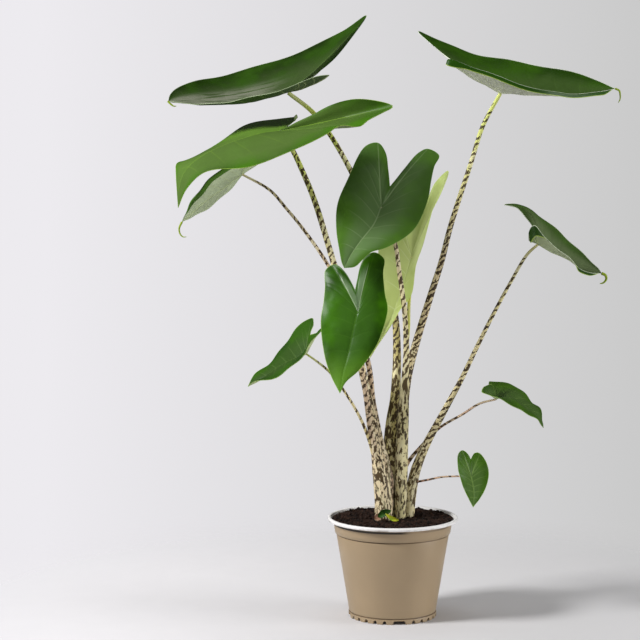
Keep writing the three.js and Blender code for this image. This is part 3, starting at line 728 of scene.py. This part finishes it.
stalks = dict(
    left_drooping=dict(
        shoot="left", wrap=0.10, seam=(0.3, -0.045), top="bcc84c", foot="dccaa4",
        cover=(0.36, 0.52),
        run=[[-121, 521, -26, 2.2], [-108, 502, -22, 2.6], [-97, 479, -20, 2.8],
             [-84, 447, -22, 3], [-64, 382, -28, 3.2], [-47, 325, -34, 3.5], [-34, 270, -28, 4],
             [-26, 234, -22, 4.4], [-21.5, 213, -17, 4.7], [-19, 191, -14, 5.4],
             [-16, 169, -11, 6.6], [-13, 148, -9, 8.4], [-10.5, 126, -8, 9.2],
             [-10, 98, -7, 9.4]]),
    left_small=dict(
        shoot="left", wrap=0.06, top="dccba2", foot="ccb294", cover=(0.36, 0.56),
        run=[[-161, 475.5, 10, 1.2], [-132, 459, 4, 1.5], [-114, 439, -4, 1.6],
             [-96, 417, -11, 1.7], [-71, 381, -15, 1.9], [-51, 342, -16, 2.1],
             [-27, 275, -16, 2.8], [-22, 234, -13, 3.2], [-18.5, 213, -10, 3.7],
             [-14.5, 191, -7, 4.4], [-9, 169, -4, 5.2], [-5, 148, -3, 5.4], [-5, 126, -3, 5.4],
             [-6, 98, -3, 5.4]]),
    lower_heart=dict(
        shoot="left", top="cdc880", foot="ccb394", cover=(0.35, 0.45),
        run=[[-38, 329.5, -81, 1.6], [-38, 310, -70, 2], [-36, 285, -58, 2.2],
             [-33, 262, -45, 2.6], [-29, 240, -34, 3], [-24, 205, -22, 3.6], [-17, 165, -12, 4],
             [-14, 140, -8, 4]]),
    lower_left=dict(
        shoot="left", top="b4bb5c", foot="cfbe88", cover=(0.3, 0.42),
        run=[[-93, 283.5, -30, 1], [-81, 275, -34, 1.2], [-68, 264, -38, 1.3],
             [-52, 243, -40, 1.4], [-38, 220, -34, 1.5], [-28, 198, -23, 1.8],
             [-20, 172, -13, 2.4], [-16, 150, -9, 2.6]]),
    upper_left=dict(
        shoot="middle", wrap=0.08, top="bacb54", foot="bfb274", cover=(0.36, 0.64),
        bare=(20, 62),
        run=[[-112, 562, 40, 2.2], [-83, 538, 46, 2.5], [-45, 478, 46, 2.8], [-12, 392, 42, 3.2],
             [2, 323, 34, 3.7], [4, 286, 26, 4.3], [3.5, 260, 20, 4.8], [2, 234, 16, 5.6],
             [-0.5, 213, 13, 6.8], [-2, 191, 11, 7.8], [-2, 169, 11, 8.1], [-1, 147, 11, 8.3],
             [-1, 98, 11.5, 8.3]]),
    upper_right=dict(
        shoot="middle", top="c8d06e", foot="d8c69c", cover=(0.42, 0.62), patch=0.9,
        run=[[112, 561, 30, 2], [94, 527, 30, 2.3], [82, 489, 28, 2.5], [60.5, 421, 22, 2.9],
             [51, 383, 16, 3.2], [40, 348, 16, 3.6], [23, 291, 15, 4.2], [15.5, 260, 9, 4.6],
             [12, 234, 3, 5], [10.5, 213, 1, 5.2], [10, 180, 1, 5.4], [9, 140, 1, 5]]),
    middle_heart=dict(
        shoot="middle", wrap=0.06, top="d6bea0", foot="dacf9c", cover=(0.44, 0.46), patch=1.1,
        run=[[-13, 441.5, -50, 1.8], [-6, 425, -37, 2.1], [2, 401, -30, 2.2], [6, 373, -26, 2.4],
             [12, 330, -24, 2.7], [14, 286, -16, 3.2], [13, 260, -10, 3.9], [12, 240, -4, 5],
             [11, 213, 0, 5.9], [9.5, 180, 0, 6.7], [9, 153, 1, 6.8], [8.5, 126, 1, 6.4],
             [8, 98, 1, 6.1]]),
    pale_young=dict(
        shoot="middle", top="d3db4e", foot="cdcd68", cover=(0.0, 0.1),
        run=[[19, 388.5, 4, 1.5], [20, 368, 12, 1.7], [17, 345, 12, 1.8], [16, 313, 6, 1.9],
             [14, 286, 0, 2.2], [12.5, 258, -2, 2.6], [11, 225, 0, 3], [10, 190, 1, 3.4]]),
    lower_right=dict(
        shoot="middle", top="c9a58e", foot="c3a588", cover=(0.34, 0.45),
        run=[[110, 235.5, -20, 1], [93, 231, -14, 1.2], [74, 219, -3, 1.3], [55, 208, 11, 1.4],
             [46, 201, 17, 1.5], [29, 183, 16, 1.7], [17, 168, 9, 2.1], [9, 152, 4, 2.4]]),
    right_folded=dict(
        shoot="right", wrap=0.08, top="dcd498", foot="d6c898", cover=(0.3, 0.52),
        run=[[153, 401.5, 10, 1.4], [142, 391, 9, 1.6], [125, 362, 6, 1.8], [103, 320, 2, 2.1],
             [88, 289, -1, 2.4], [73, 257, -3, 2.7], [55, 223, -1, 3.4], [46, 206, 1, 3.8],
             [38, 191, 4, 4.2], [29, 171, 8, 5], [23.5, 155, 11, 5.5], [20.5, 140, 12, 5.8],
             [18, 120, 13, 6], [17, 98, 13, 6.1]]),
    small_heart=dict(
        shoot="right", top="c79a82", foot="b98e74", cover=(0.35, 0.4),
        run=[[84, 152, -14, 0.7], [69, 152, -3, 0.9], [52, 151, -2, 1], [38, 148, 4, 1.1],
             [22, 145, 10, 1.3]]),
)

stalkBuild = dict(               # a stalk's own values replace these
    perMillimetre=0.55, around=40, wrap=0, seam=(2.4, 0.022), bare=(-4, 26), patch=1,
    sheath=(0.72, 0.95),            # shares of the run between which the sheath comes in
    ridges=9, ridgeHeight=0.018, seamWidth=1.0, tintFull=0.45,
    patchRadius=(3.5, 5.5), flameRadius=(3.4, 5.2),
    apart=173,                      # so far along the marks' pattern the next stalk begins
    bands=(0.66, 0.9, 12.0),        # how close along the stalk, how slanting and how wavy
    light="ece4c0", olive="a9a04e", browns=("2c190c", "45300f"), seamColour="d9cfa6",
)


def stalkMaterial():
    # slanting bands on the thin part; on the foot, flecks drawn out along it, in thick and thin
    # patches; a light line along the sheath's edge; a mark shows where the field passes
    # 0.5 + 0.7 * (0.5 - the share of marks wanted)
    s = stalkBuild
    r = Recipe("petiole_zebra")
    mark, ground = r.measured("mark", 1), r.measured("ground", 0)
    cover, low, seam = map(r.measured, ("cover", "low", "seam"))
    warp = r.noise(mark, 0.16, 2, 0.5)
    fine = r.noise(mark, (0.8, 0.8, 0.4), 2, 0.6, 0.2)
    wide = r.noise(mark, (0.35, 0.35, 0.25), 2, 0.55, 0.3)
    steep, slant, wavy = s["bands"]
    band = r.maths("SINE", r.part(mark, 2) * steep + r.part(mark, 0) * slant + warp * wavy)
    bands = 0.5 + 0.27 * band + 1.2 * (wide - 0.5) + 0.3 * (fine - 0.5)
    flame = r.noise(mark, (0.42, 0.42, 0.16), 2, 0.6)
    patch = r.noise(mark, (0.12, 0.12, 0.09), 1)
    flames = 0.5 + 2.1 * (flame - 0.5) + 0.5 * (patch - 0.5) + 0.4 * (fine - 0.5)
    # where the two meet, their sum is stretched by as much as mixing flattens it
    both = bands * (1.0 - low) + flames * low - 0.5
    field = 0.5 + both * (1.0 + 1.6 * low * (1.0 - low))
    start = 0.85 - 0.7 * cover
    dark = r.ease(field, start - 0.05, start + 0.05)
    tone = r.noise(mark, (0.12, 0.12, 0.03), 2)
    r.colour = r.mix(r.ease(tone, 0.4, 0.7) * 0.6, ground, s["light"])
    r.coat(r.ease(flame, 0.5, 0.72) * low * 0.4, s["olive"])
    r.coat(dark * 0.94, r.mix(r.ease(tone, 0.35, 0.65), *s["browns"]))
    r.coat(seam * 0.7, s["seamColour"])
    skin = r.bump(r.noise(mark, (0.9, 0.9, 0.07), 1), 0.2, 0.0006)
    return r.finish(0.45 + 0.12 * fine, skin, 0.25)


stalkSkin = stalkMaterial()


def makeStalk(name, stalk):
    # a round section along the run; the wrap swells the radius once round and drops it at a
    # seam, which is the free edge of the sheath and winds down the stem
    s = {**stalkBuild, **stalk}
    rows, around = spot(s["run"]), s["around"]
    length = np.linalg.norm(np.diff(rows[:, :3], axis=0), axis=1).sum()
    count = int(length * s["perMillimetre"]) + 8
    share = np.linspace(0, 1, count)
    line = spaced(rows, share)
    path, radius = line[:, :3], line[:, 3]
    along = unit(np.gradient(path, axis=0))
    side = unit(np.cross(along, [0, 1, 0]))
    front = np.cross(along, side)
    wrapped = s["wrap"] > 0
    part = (np.arange(around) / (around - 1 if wrapped else around))[None, :]
    start, twist = s["seam"]
    turn = 2 * np.pi * part + (start + twist * length * (share - 1))[:, None] * wrapped
    lower = smooth(share, *s["sheath"])[:, None]
    swell = 1 + s["wrap"] * lower * (part - 0.5)
    ridges = 1 + s["ridgeHeight"] * np.sin(s["ridges"] * turn) * lower
    reach = radius[:, None] * swell * ridges
    ring = np.cos(turn)[..., None] * side[:, None] + np.sin(turn)[..., None] * front[:, None]
    places = (path[:, None] + reach[..., None] * ring).reshape(-1, 3)
    places, faces = closedTube(places, count, around, path[0], path[-1])
    # the marks' pattern is laid round the straightened stalk; near the blade there are none
    run = share * length
    mark = np.stack([reach * np.cos(turn), reach * np.sin(turn),
                     np.broadcast_to(run[:, None], turn.shape)], -1).reshape(-1, 3)
    size = 1 + (s["patch"] - 1) * np.repeat(smooth(radius, *s["patchRadius"]), around)
    shift = [0, 0, s["apart"] * (sorted(stalks).index(name) + 1)]
    tint = np.repeat(smooth(share, 0, s["tintFull"]), around)[:, None]
    banded = smooth(run, *s["bare"])
    few, many = s["cover"]
    cover = (few + (many - few) * share) * banded - 0.4 * (1 - banded)
    fromSeam = 2 * np.pi * np.minimum(part, 1 - part) * radius[:, None]
    seam = np.exp(-(fromSeam / s["seamWidth"]) ** 2) * lower * wrapped
    top, foot = np.array(paint(s["top"])), np.array(paint(s["foot"]))
    values = dict(mark=mark / size[:, None] + shift, ground=top * (1 - tint) + foot * tint,
                  low=np.repeat(smooth(radius, *s["flameRadius"]), around), seam=seam.ravel(),
                  cover=np.repeat(cover, around))
    ends = [0, count * around - around]
    values = {key: np.concatenate([value, value[ends]]) for key, value in values.items()}
    piece = makePiece("stalk_" + name, places, faces, values, [stalkSkin], sharp=75)
    enrol(piece, "petiole", "shoot_" + s["shoot"])


for stalkName, stalkSpec in stalks.items():
    makeStalk(stalkName, stalkSpec)
print("stalks made:", len(stalks))


# ---- pot

pot = dict(
    rim=70, height=108, wall=1.2, lip=3.8, lipWidth=3.4, foot=47.5, footWidth=3.4,
    inset=0.7,                      # of the wall from the foot's outside
    floorUnder=3, floorTop=5, step=60.6, stepHeight=90.6, around=576,
    slots=4, slotHalf=6.8, slotSoft=(1.8, 0.8), slotHeight=4.3,
    arches=5, archHalf=2.1, archHeight=3.9, archFrom=0.337, turned=0.16,
    holes=6, holeRadius=3.5, holeCircle=31,
    body="9a866a", specks="8d7b62", rimColour="e4e2e1", dust="6f5c4b",
    # painted shade, as dark bands in the grooves and a shadow under the lip: its height and half
    # its width in metres, how strong it is, its colour, and whether it lies in patches
    paintedShade=((0.0058, 0.0004, 0.6, "4a3828", False), (0.0902, 0.0003, 0.7, "5a4630", False),
           (0.1016, 0.0007, 0.95, "14110e", True)),
)


def potOutline():
    # radius and height of the section, from the foot ring's inner side round the outside, over
    # the rim and down the inner wall; the last number is 1 where the plastic is white
    f, s, h, rim, top, wall = (pot[k] for k in
                               ("foot", "step", "stepHeight", "rim", "height", "wall"))
    lip, inner, ring = top - pot["lip"], rim - pot["lipWidth"], f - pot["footWidth"]
    taupe = [
        (ring, pot["floorUnder"]), (ring, 1.2), (ring + 0.1, 0.2), (ring + 0.4, 0), (f - 1.6, 0),
        (f - 0.4, 0), (f - 0.1, 0.3), (f, 2.6), (f, 4.6), (f - 0.15, 5.1), (f - 1.2, 5.5),
        (f - 1.25, 6.1), (f - 0.55, 6.6),
        *((f - 0.4 + t * (s - f + 0.4), 7.6 + t * (h - 9)) for t in (0, 0.25, 0.5, 0.75, 1)),
        (s - 0.1, h - 1), (s - 0.9, h - 0.7), (s - 0.9, h - 0.1), (s + 0.9, h + 0.2),
        (s + 1.5, h + 0.8), (s + 2.2, h + 5), (s + 3.1, lip - 0.8), (s + 2.4, lip - 0.3)]
    white = [
        (s + 2.6, lip), (inner, lip + 0.1), (rim - 1.2, lip), (rim - 0.35, lip + 0.4),
        (rim, lip + 1.3), (rim, top - 1.3), (rim - 0.35, top - 0.5), (rim - 1.1, top),
        (inner + 0.8, top - 0.05), (inner + 0.2, top - 0.5), (inner, top - 1.3),
        (inner - 0.5, top - 2.6), (inner - 2.2, top - 3.4), (s + 2.2, lip - 1.4),
        (s + 3 - wall, top - 9), (s + 1.2 - wall, h + 3), (s - wall, h),
        (f - pot["inset"] - wall, pot["floorTop"])]
    return np.array([(*point, 0) for point in taupe] + [(*point, 1) for point in white])


def potTaupe():
    # satin plastic, a little cloudy, with painted shade in the groove above the foot and under the
    # step, and a painted shadow, in patches, under the lip
    r = Recipe("pot_taupe")
    place = r.places()
    cloud, fine = r.noise(place, 14, 3, 0.55), r.noise(place, 900, 2, 0.6)
    r.colour = r.mix(r.ease(cloud, 0.3, 0.7), paint(pot["body"], 0.95), paint(pot["body"], 1.05))
    r.coat(r.ease(fine, 0.5, 0.8) * 0.12, pot["specks"])
    height = r.part(place, 2)
    patches = r.ease(r.noise(place, 16, 1), 0.34, 0.5)
    # each band is painted shade: darker where the shadow of a groove or of the lip falls
    for middle, half, strength, tint, patchy in pot["paintedShade"]:
        band = r.fade(abs(height - middle), half, 2.2 * half, strength)
        r.coat(band * patches if patchy else band, tint)
    streak = r.noise(place, (160, 160, 9), 2, 0.5)
    skin = r.bump(streak, 0.06, 0.0008, Normal=r.bump(fine, 0.05, 0.0004))
    return r.finish(0.36 + 0.10 * streak, skin, 0.45)


def potWhite():
    # dusty below the rim's top
    r = Recipe("pot_white")
    place = r.places()
    dust = r.noise(place, 60, 4, 0.65)
    near = r.ease(r.part(place, 2), 0.1045, 0.1070, 0.7, 0.03)
    r.colour = r.mix(r.ease(dust, 0.45, 0.72) * near, pot["rimColour"], pot["dust"])
    skin = r.bump(r.noise(place, 700, 2), 0.05, 0.0004)
    return r.finish(0.36 + 0.15 * dust, skin, 0.45)


def floorSectors(radius, level, angle):
    # the floor in one sector for each drain hole: rows of points from the hole's edge to the
    # sector's border, which is an arc of the wall and two straight lines to the axis
    half = len(angle) // (2 * pot["holes"])
    arms, share = np.arange(1, 12)[:, None] / 12, np.linspace(0, 1, 4)[:, None, None]
    sectors = []
    for i in range(pot["holes"]):
        k = (2 * half * i + np.arange(-half, half + 1)) % len(angle)
        arc = radius * np.stack([np.cos(angle[k]), np.sin(angle[k])], 1)
        border = np.vstack([arc, arms[::-1] * arc[-1], [0, 0], arms * arc[0]])
        turn = 2 * np.pi * i / pot["holes"]
        middle = pot["holeCircle"] * np.array([np.cos(turn), np.sin(turn)])
        edge = middle + pot["holeRadius"] * unit(border - middle)
        web = edge + share * (border - edge)
        sectors.append(np.dstack([web, np.full(web.shape[:2], level)]))
    return np.array(sectors)


def footLift(angle):
    # how far the foot's edge is raised at each angle: slots with soft ends, round arches between
    quarter = 2 * np.pi / pot["slots"]
    arches = np.linspace(pot["archFrom"], quarter - pot["archFrom"], pot["arches"])
    lift = np.zeros(len(angle))

    def away(at):
        # millimetres from there along the middle of the foot ring
        turn = np.abs((angle - at + np.pi) % (2 * np.pi) - np.pi)
        return turn * (pot["foot"] - pot["footWidth"] / 2)

    for slot in pot["turned"] - np.pi / 2 + quarter * np.arange(pot["slots"]):
        inside, outside = pot["slotSoft"]
        shut = smooth(away(slot), pot["slotHalf"] - inside, pot["slotHalf"] + outside)
        lift = np.maximum(lift, pot["slotHeight"] * (1 - shut))
        for arch in slot + arches:
            bow = np.sqrt(np.clip(1 - (away(arch) / pot["archHalf"]) ** 2, 0, 1))
            lift = np.maximum(lift, pot["archHeight"] * bow)
    return lift


def makePot():
    # the outline turned about the axis; the foot's lower points rise over arches and slots
    outline = potOutline()
    rows, around = len(outline), pot["around"]
    angle = anglesOf(around)
    radius, height, white = (np.repeat(column[:, None], around, axis=1) for column in outline.T)
    most = np.where(radius < pot["foot"] - 2, pot["floorUnder"] - 0.05, pot["slotHeight"])
    lifted = np.maximum(height, np.minimum(footLift(angle), most))
    height = np.where(height < most, lifted, height)
    places = np.stack([radius * np.cos(angle), radius * np.sin(angle), height], -1).reshape(-1, 3)
    faces = gridFaces(rows, around, True)
    which = np.tile((white[:-1] + white[1:] > 1).astype(int).ravel(), 2)
    upper = floorSectors(outline[-1, 0], pot["floorTop"], angle)
    under = floorSectors(outline[0, 0], pot["floorUnder"], angle)
    web, wall = (gridFaces(count, upper.shape[2], True) for count in (upper.shape[1], 2))
    for top, low in zip(upper, under):
        for block, part, kind in ((top, web, 1), (low, web[:, ::-1], 0),
                                  (np.stack([low[0], top[0]]), wall[:, ::-1], 1)):
            faces = np.concatenate([faces, part + len(places)])
            places = np.vstack([places, block.reshape(-1, 3)])
            which = np.r_[which, np.full(len(part), kind)]
    first, faces, _, alive = weld(places, faces)
    places = places[first]
    piece = makePiece("pot_shell", places, outward(places, faces), None,
                      [potTaupe(), potWhite()], which[alive], sharp=38)
    enrol(piece, "pot", "pot")


makePot()
print("pot made")


# ---- soil, crumbs and sprouts

soil = dict(
    top=106, relief=0.8, edge=65.5, edgeHeight=105.5, rings=90, around=360, bottom=5.3,
    edgeFrom=0.97, lumps=((0.9, 5.5, 11), (0.8, 2.6, 12), (0.45, 1.3, 13)), lumpHeight=1.5,
    sunk=1.1, rounded=((65.2, 105.1), (63.4, 104.1), (62.3, 102.5)), clear=0.4,
    # how many crumbs; their least half width, what is added at most and how much rarer that is;
    # how much each way and each corner differs; and how far they stay from the edge
    crumbs=1700, crumbSize=(0.5, 1.5, 2.2), crumbStretch=(0.6, 1.4), crumbJitter=(0.75, 1.2),
    crumbMargin=2.2, dark="0f0907", brown="38241a", grey="7a6250",
)


def groundAt(x, y):
    # gentle crossing waves
    bumps = np.sin(0.31 * x + 1) * np.cos(0.27 * y) + 0.6 * np.sin(0.55 * y - 0.4 * x)
    return soil["top"] + soil["relief"] * bumps


def crumbly(x, y):
    # the waves with three sizes of lumps on them
    lumps = lumpy(np.stack([x, y, 0 * x + 7], 1), soil["lumps"])
    return groundAt(x, y) + np.abs(lumps) * soil["lumpHeight"] - soil["sunk"]


def soilMaterial():
    # dark and brown clouds with fine grey grains
    r = Recipe("soil_crumb")
    place = r.places()
    cloud, fine = r.noise(place, 160, 4, 0.65), r.noise(place, 900, 3, 0.6)
    r.colour = r.mix(r.ease(cloud, 0.35, 0.7), soil["dark"], soil["brown"])
    r.coat(r.ease(fine, 0.62, 0.78) * 0.6, soil["grey"])
    return r.finish(0.86 + 0.1 * cloud, r.bump(fine, 0.5, 0.0009), 0.25)


soilSkin = soilMaterial()


def makeSoil():
    # rings drawn from the middle to the wall, then down the wall and in under the floor
    rings, around, bottom = soil["rings"], soil["around"], soil["bottom"]
    angle = anglesOf(around)
    share = np.linspace(0, 1, rings + 1)[1:, None]
    radius = soil["edge"] * share * np.ones(around)
    x, y = radius * np.cos(angle), radius * np.sin(angle)
    z = crumbly(x.ravel(), y.ravel()).reshape(x.shape)
    z = z + (soil["edgeHeight"] - z) * smooth(share, soil["edgeFrom"], 1.0)
    foot, step = pot["foot"] - pot["inset"] - pot["wall"], pot["step"] - pot["wall"]
    wall = [*soil["rounded"], (step + 2.6, pot["height"] - 9.3),
            (step - soil["clear"], pot["stepHeight"]), (foot - soil["clear"], bottom)]
    for r, h in wall:
        x, y = np.vstack([x, r * np.cos(angle)]), np.vstack([y, r * np.sin(angle)])
        z = np.vstack([z, np.full(around, h)])
    places = np.stack([x, y, z], -1).reshape(-1, 3)
    middle = [0, 0, crumbly(np.zeros(1), np.zeros(1))[0]]
    places, faces = closedTube(places, rings + len(wall), around, middle, [0, 0, bottom])
    piece = makePiece("soil_plug", places, faces, None, [soilSkin], sharp=80)
    enrol(piece, "soil", "soil")


def makeCrumbs():
    # one lump of twenty faces, squashed and turned at random, laid over the soil many times
    rng = np.random.default_rng(21)
    g = (1 + 5 ** 0.5) / 2
    lump = np.array([np.roll([a, b, 0], k) for k in range(3) for b in (g, -g) for a in (-1, 1)])
    lump /= np.linalg.norm(lump[0])
    corners = np.array([[0, 11, 5], [0, 5, 1], [0, 1, 7], [0, 7, 10], [0, 10, 11], [1, 5, 9],
                        [5, 11, 4], [11, 10, 2], [10, 7, 6], [7, 1, 8], [3, 9, 4], [3, 4, 2],
                        [3, 2, 6], [3, 6, 8], [3, 8, 9], [4, 9, 5], [2, 4, 11], [6, 2, 10],
                        [8, 6, 7], [9, 8, 1]])
    n, (least, more, rarer) = soil["crumbs"], soil["crumbSize"]
    size = least + more * rng.random(n) ** rarer
    stretch = rng.uniform(*soil["crumbStretch"], (n, 3))
    jitter = rng.uniform(*soil["crumbJitter"], (n, 12))
    reach = (soil["edge"] - soil["crumbMargin"]) * np.sqrt(rng.random(n))
    angle = rng.uniform(0, 2 * np.pi, n)
    x, y = reach * np.cos(angle), reach * np.sin(angle)
    turn = np.linalg.qr(rng.normal(size=(n, 3, 3)))[0]
    shape = lump[None] * jitter[..., None] * stretch[:, None] * size[:, None, None]
    shape = np.einsum("nij,nkj->nki", turn, shape)
    centre = np.stack([x, y, crumbly(x, y) + 0.25 * size], 1)
    places = (shape + centre[:, None]).reshape(-1, 3)
    faces = corners[None] + 12 * np.arange(n)[:, None, None]
    flip = np.linalg.det(turn) < 0
    faces[flip] = faces[flip][:, :, ::-1]
    piece = makePiece("soil_crumbs", places, faces.reshape(-1, 3), None, [soilSkin], sharp=80)
    enrol(piece, "soil")


makeSoil()
makeCrumbs()
print("soil made")

# young leaves and a scale leaning on the soil: both ends as x, y and height over the ground; half
# the width; how far the middle bows up; how far the two edges curl towards the front; and from
# dark to light the colours
sprouts = dict(
    sprout_dark=dict(foot=[-16, -23, 5], tip=[-1.5, -22, 11.5], half=3.8, bow=1.2, curl=2.2,
                     colours=("14300a", "2d5a12", "4d7a2a")),
    sprout_light=dict(foot=[6.5, -27, 2.2], tip=[-8, -26.5, 10], half=2.2, bow=-1.4, curl=1.4,
                      colours=("7f9a22", "b9b82c", "d0cf52")),
    bract_pink=dict(foot=[-18, -21.5, 0.4], tip=[-13, -20, 8], half=3.4, bow=1.0, curl=1.6,
                    colours=("9a6a50", "c79a80", "d9b49a"), replaced="sprout_dark"),
)
sproutBuild = dict(rows=40, around=32, thick=0.22, least=0.08)


def sproutMaterial(name, colours):
    # clouds of the darker two colours with blotches of the lightest
    r = Recipe(name + "_skin")
    place = r.places()
    cloud = r.noise(place, 190, 3, 0.6)
    r.colour = r.mix(r.ease(cloud, 0.35, 0.65), *colours[:2])
    r.coat(r.ease(r.noise(place, 420, 2), 0.55, 0.7) * 0.6, colours[2])
    skin = r.bump(r.noise(place, (900, 900, 300), 2), 0.3, 0.0005)
    return r.finish(0.34 + 0.2 * cloud, skin, 0.35)


def makeSprout(name, sprout):
    # a pointed scale round its own line: the section is an oval bent forward at both edges
    b = sproutBuild
    t, turn = np.linspace(0, 1, b["rows"])[:, None], anglesOf(b["around"])[None, :]
    ends = np.array([sprout["foot"], sprout["tip"]], float)
    ends[:, 2] += groundAt(ends[:, 0], ends[:, 1])
    start, end = ends
    across = unit(np.cross(unit(end - start), [0, 1, 0]))
    half = sprout["half"] * np.clip(np.sin(np.pi * t ** 0.8), 0, 1) ** 0.7 + b["least"]
    side = half * np.cos(turn)
    depth = b["thick"] * half * np.sin(turn) - sprout["curl"] * (side / sprout["half"]) ** 2
    line = start + t * (end - start) + sprout["bow"] * np.sin(np.pi * t) * [0, 0, 1]
    places = line[:, None] + side[..., None] * across + depth[..., None] * [0, 1, 0]
    places, faces = closedTube(places.reshape(-1, 3), b["rows"], b["around"],
                               places[0].mean(0), places[-1].mean(0))
    material = sproutMaterial(name, sprout["colours"])
    piece = makePiece(name + "_scale", places, faces, None, [material], sharp=80)
    enrol(piece, "sprout", sprout.get("replaced", name))


for sproutName, sproutSpec in sprouts.items():
    makeSprout(sproutName, sproutSpec)
print("sprouts made:", len(sprouts))


# ---- studio

studio = dict(
    floorRadius=900, floorAround=96, floorHeight=-0.05, floorFade=(0.26, 0.60),
    floorLeft="dcdadc", floorRight="cac9ca", floorClouds="c0bfc0",
    left="edebef", right="cacaca", turnFrom=-0.17, turnTo=0.12, seen=1.0, spread=0.28,
    mirrored=0.08,
)


def makeFloor():
    # a disc whose outer part thins away into the background
    radius, around, level = (studio[key] for key in ("floorRadius", "floorAround", "floorHeight"))
    angle, k = anglesOf(around), np.arange(around)
    edge = np.stack([radius * np.cos(angle), radius * np.sin(angle), 0 * angle + level], 1)
    faces = np.stack([np.full(around, around), k, (k + 1) % around], 1)
    r = Recipe("floor_pale")
    place = r.places()
    # painted shade: the floor's colour is darker towards the right, where the studio light falls
    # off
    right = r.ease(r.part(place, 0), -0.35, 0.3)
    r.colour = r.mix(right, studio["floorLeft"], studio["floorRight"])
    r.coat(r.ease(r.noise(place, 30, 3), 0.3, 0.7) * 0.05, studio["floorClouds"])
    distance = r.node("VectorMath", {0: place}, 1, operation="LENGTH")
    shader = r.node("BsdfDiffuse", {"Color": r.colour})
    both = r.node("MixShader", {0: r.ease(distance, *studio["floorFade"]), 1: shader,
                                2: r.node("BsdfTransparent", {})})
    r.node("OutputMaterial", {"Surface": both})
    floor = makePiece("floor", np.vstack([edge, [0, 0, level]]), faces, None, [r.made])


def makeWorld():
    # plain light grey, a little brighter towards the left; weaker as a light than as a backdrop
    r = Recipe("world", bpy.data.worlds)
    bpy.context.scene.world = r.made
    across = r.part(r.node("TexCoord", {}), 0)
    place = r.node("MapRange", {"Value": across, "From Min": studio["turnFrom"],
                                "From Max": studio["turnTo"]})
    glossy, direct = (r.node("LightPath", {}, f"Is {kind} Ray") for kind in ("Glossy", "Camera"))
    light = r.node("Mix", {0: glossy, 2: studio["spread"], 3: studio["mirrored"]})
    light = r.node("Mix", {0: direct, 2: light, 3: studio["seen"]})
    colour = r.mix(place, studio["left"], studio["right"])
    back = r.node("Background", {"Color": colour, "Strength": light})
    r.node("OutputWorld", {"Surface": back})


lamps = dict(
    key=dict(place=(-1.8, -0.8, 1.55), aim=(0, 0, 0.25), size=0.55, power=64, gloss=True),
    side=dict(place=(1.8, -0.35, 0.5), aim=(0, 0, 0.3), size=0.9, power=24, gloss=True),
    front=dict(place=(0.1, -2.2, 0.12), aim=(0, 0, 0.45), size=1.0, power=7, gloss=False),
    top=dict(place=(-0.2, 0.4, 2.2), aim=(0, 0, 0.3), size=1.2, power=9, gloss=False),
)


def makeLamps():
    # squares of light, each turned to its aim
    for name, lamp in lamps.items():
        data = bpy.data.lights.new("lamp_" + name, "AREA")
        data.size, data.energy = lamp["size"], lamp["power"]
        light = bpy.data.objects.new("lamp_" + name, data)
        light.location, light.visible_glossy = lamp["place"], lamp["gloss"]
        x, y, z = np.array(lamp["aim"]) - np.array(lamp["place"])
        light.rotation_euler = (math.atan2(math.hypot(x, y), -z), 0,
                                math.atan2(y, x) - math.pi / 2)
        bpy.context.scene.collection.objects.link(light)


makeFloor()
makeWorld()
makeLamps()
bpy.context.scene.view_settings.view_transform = "Standard"
print("studio made")
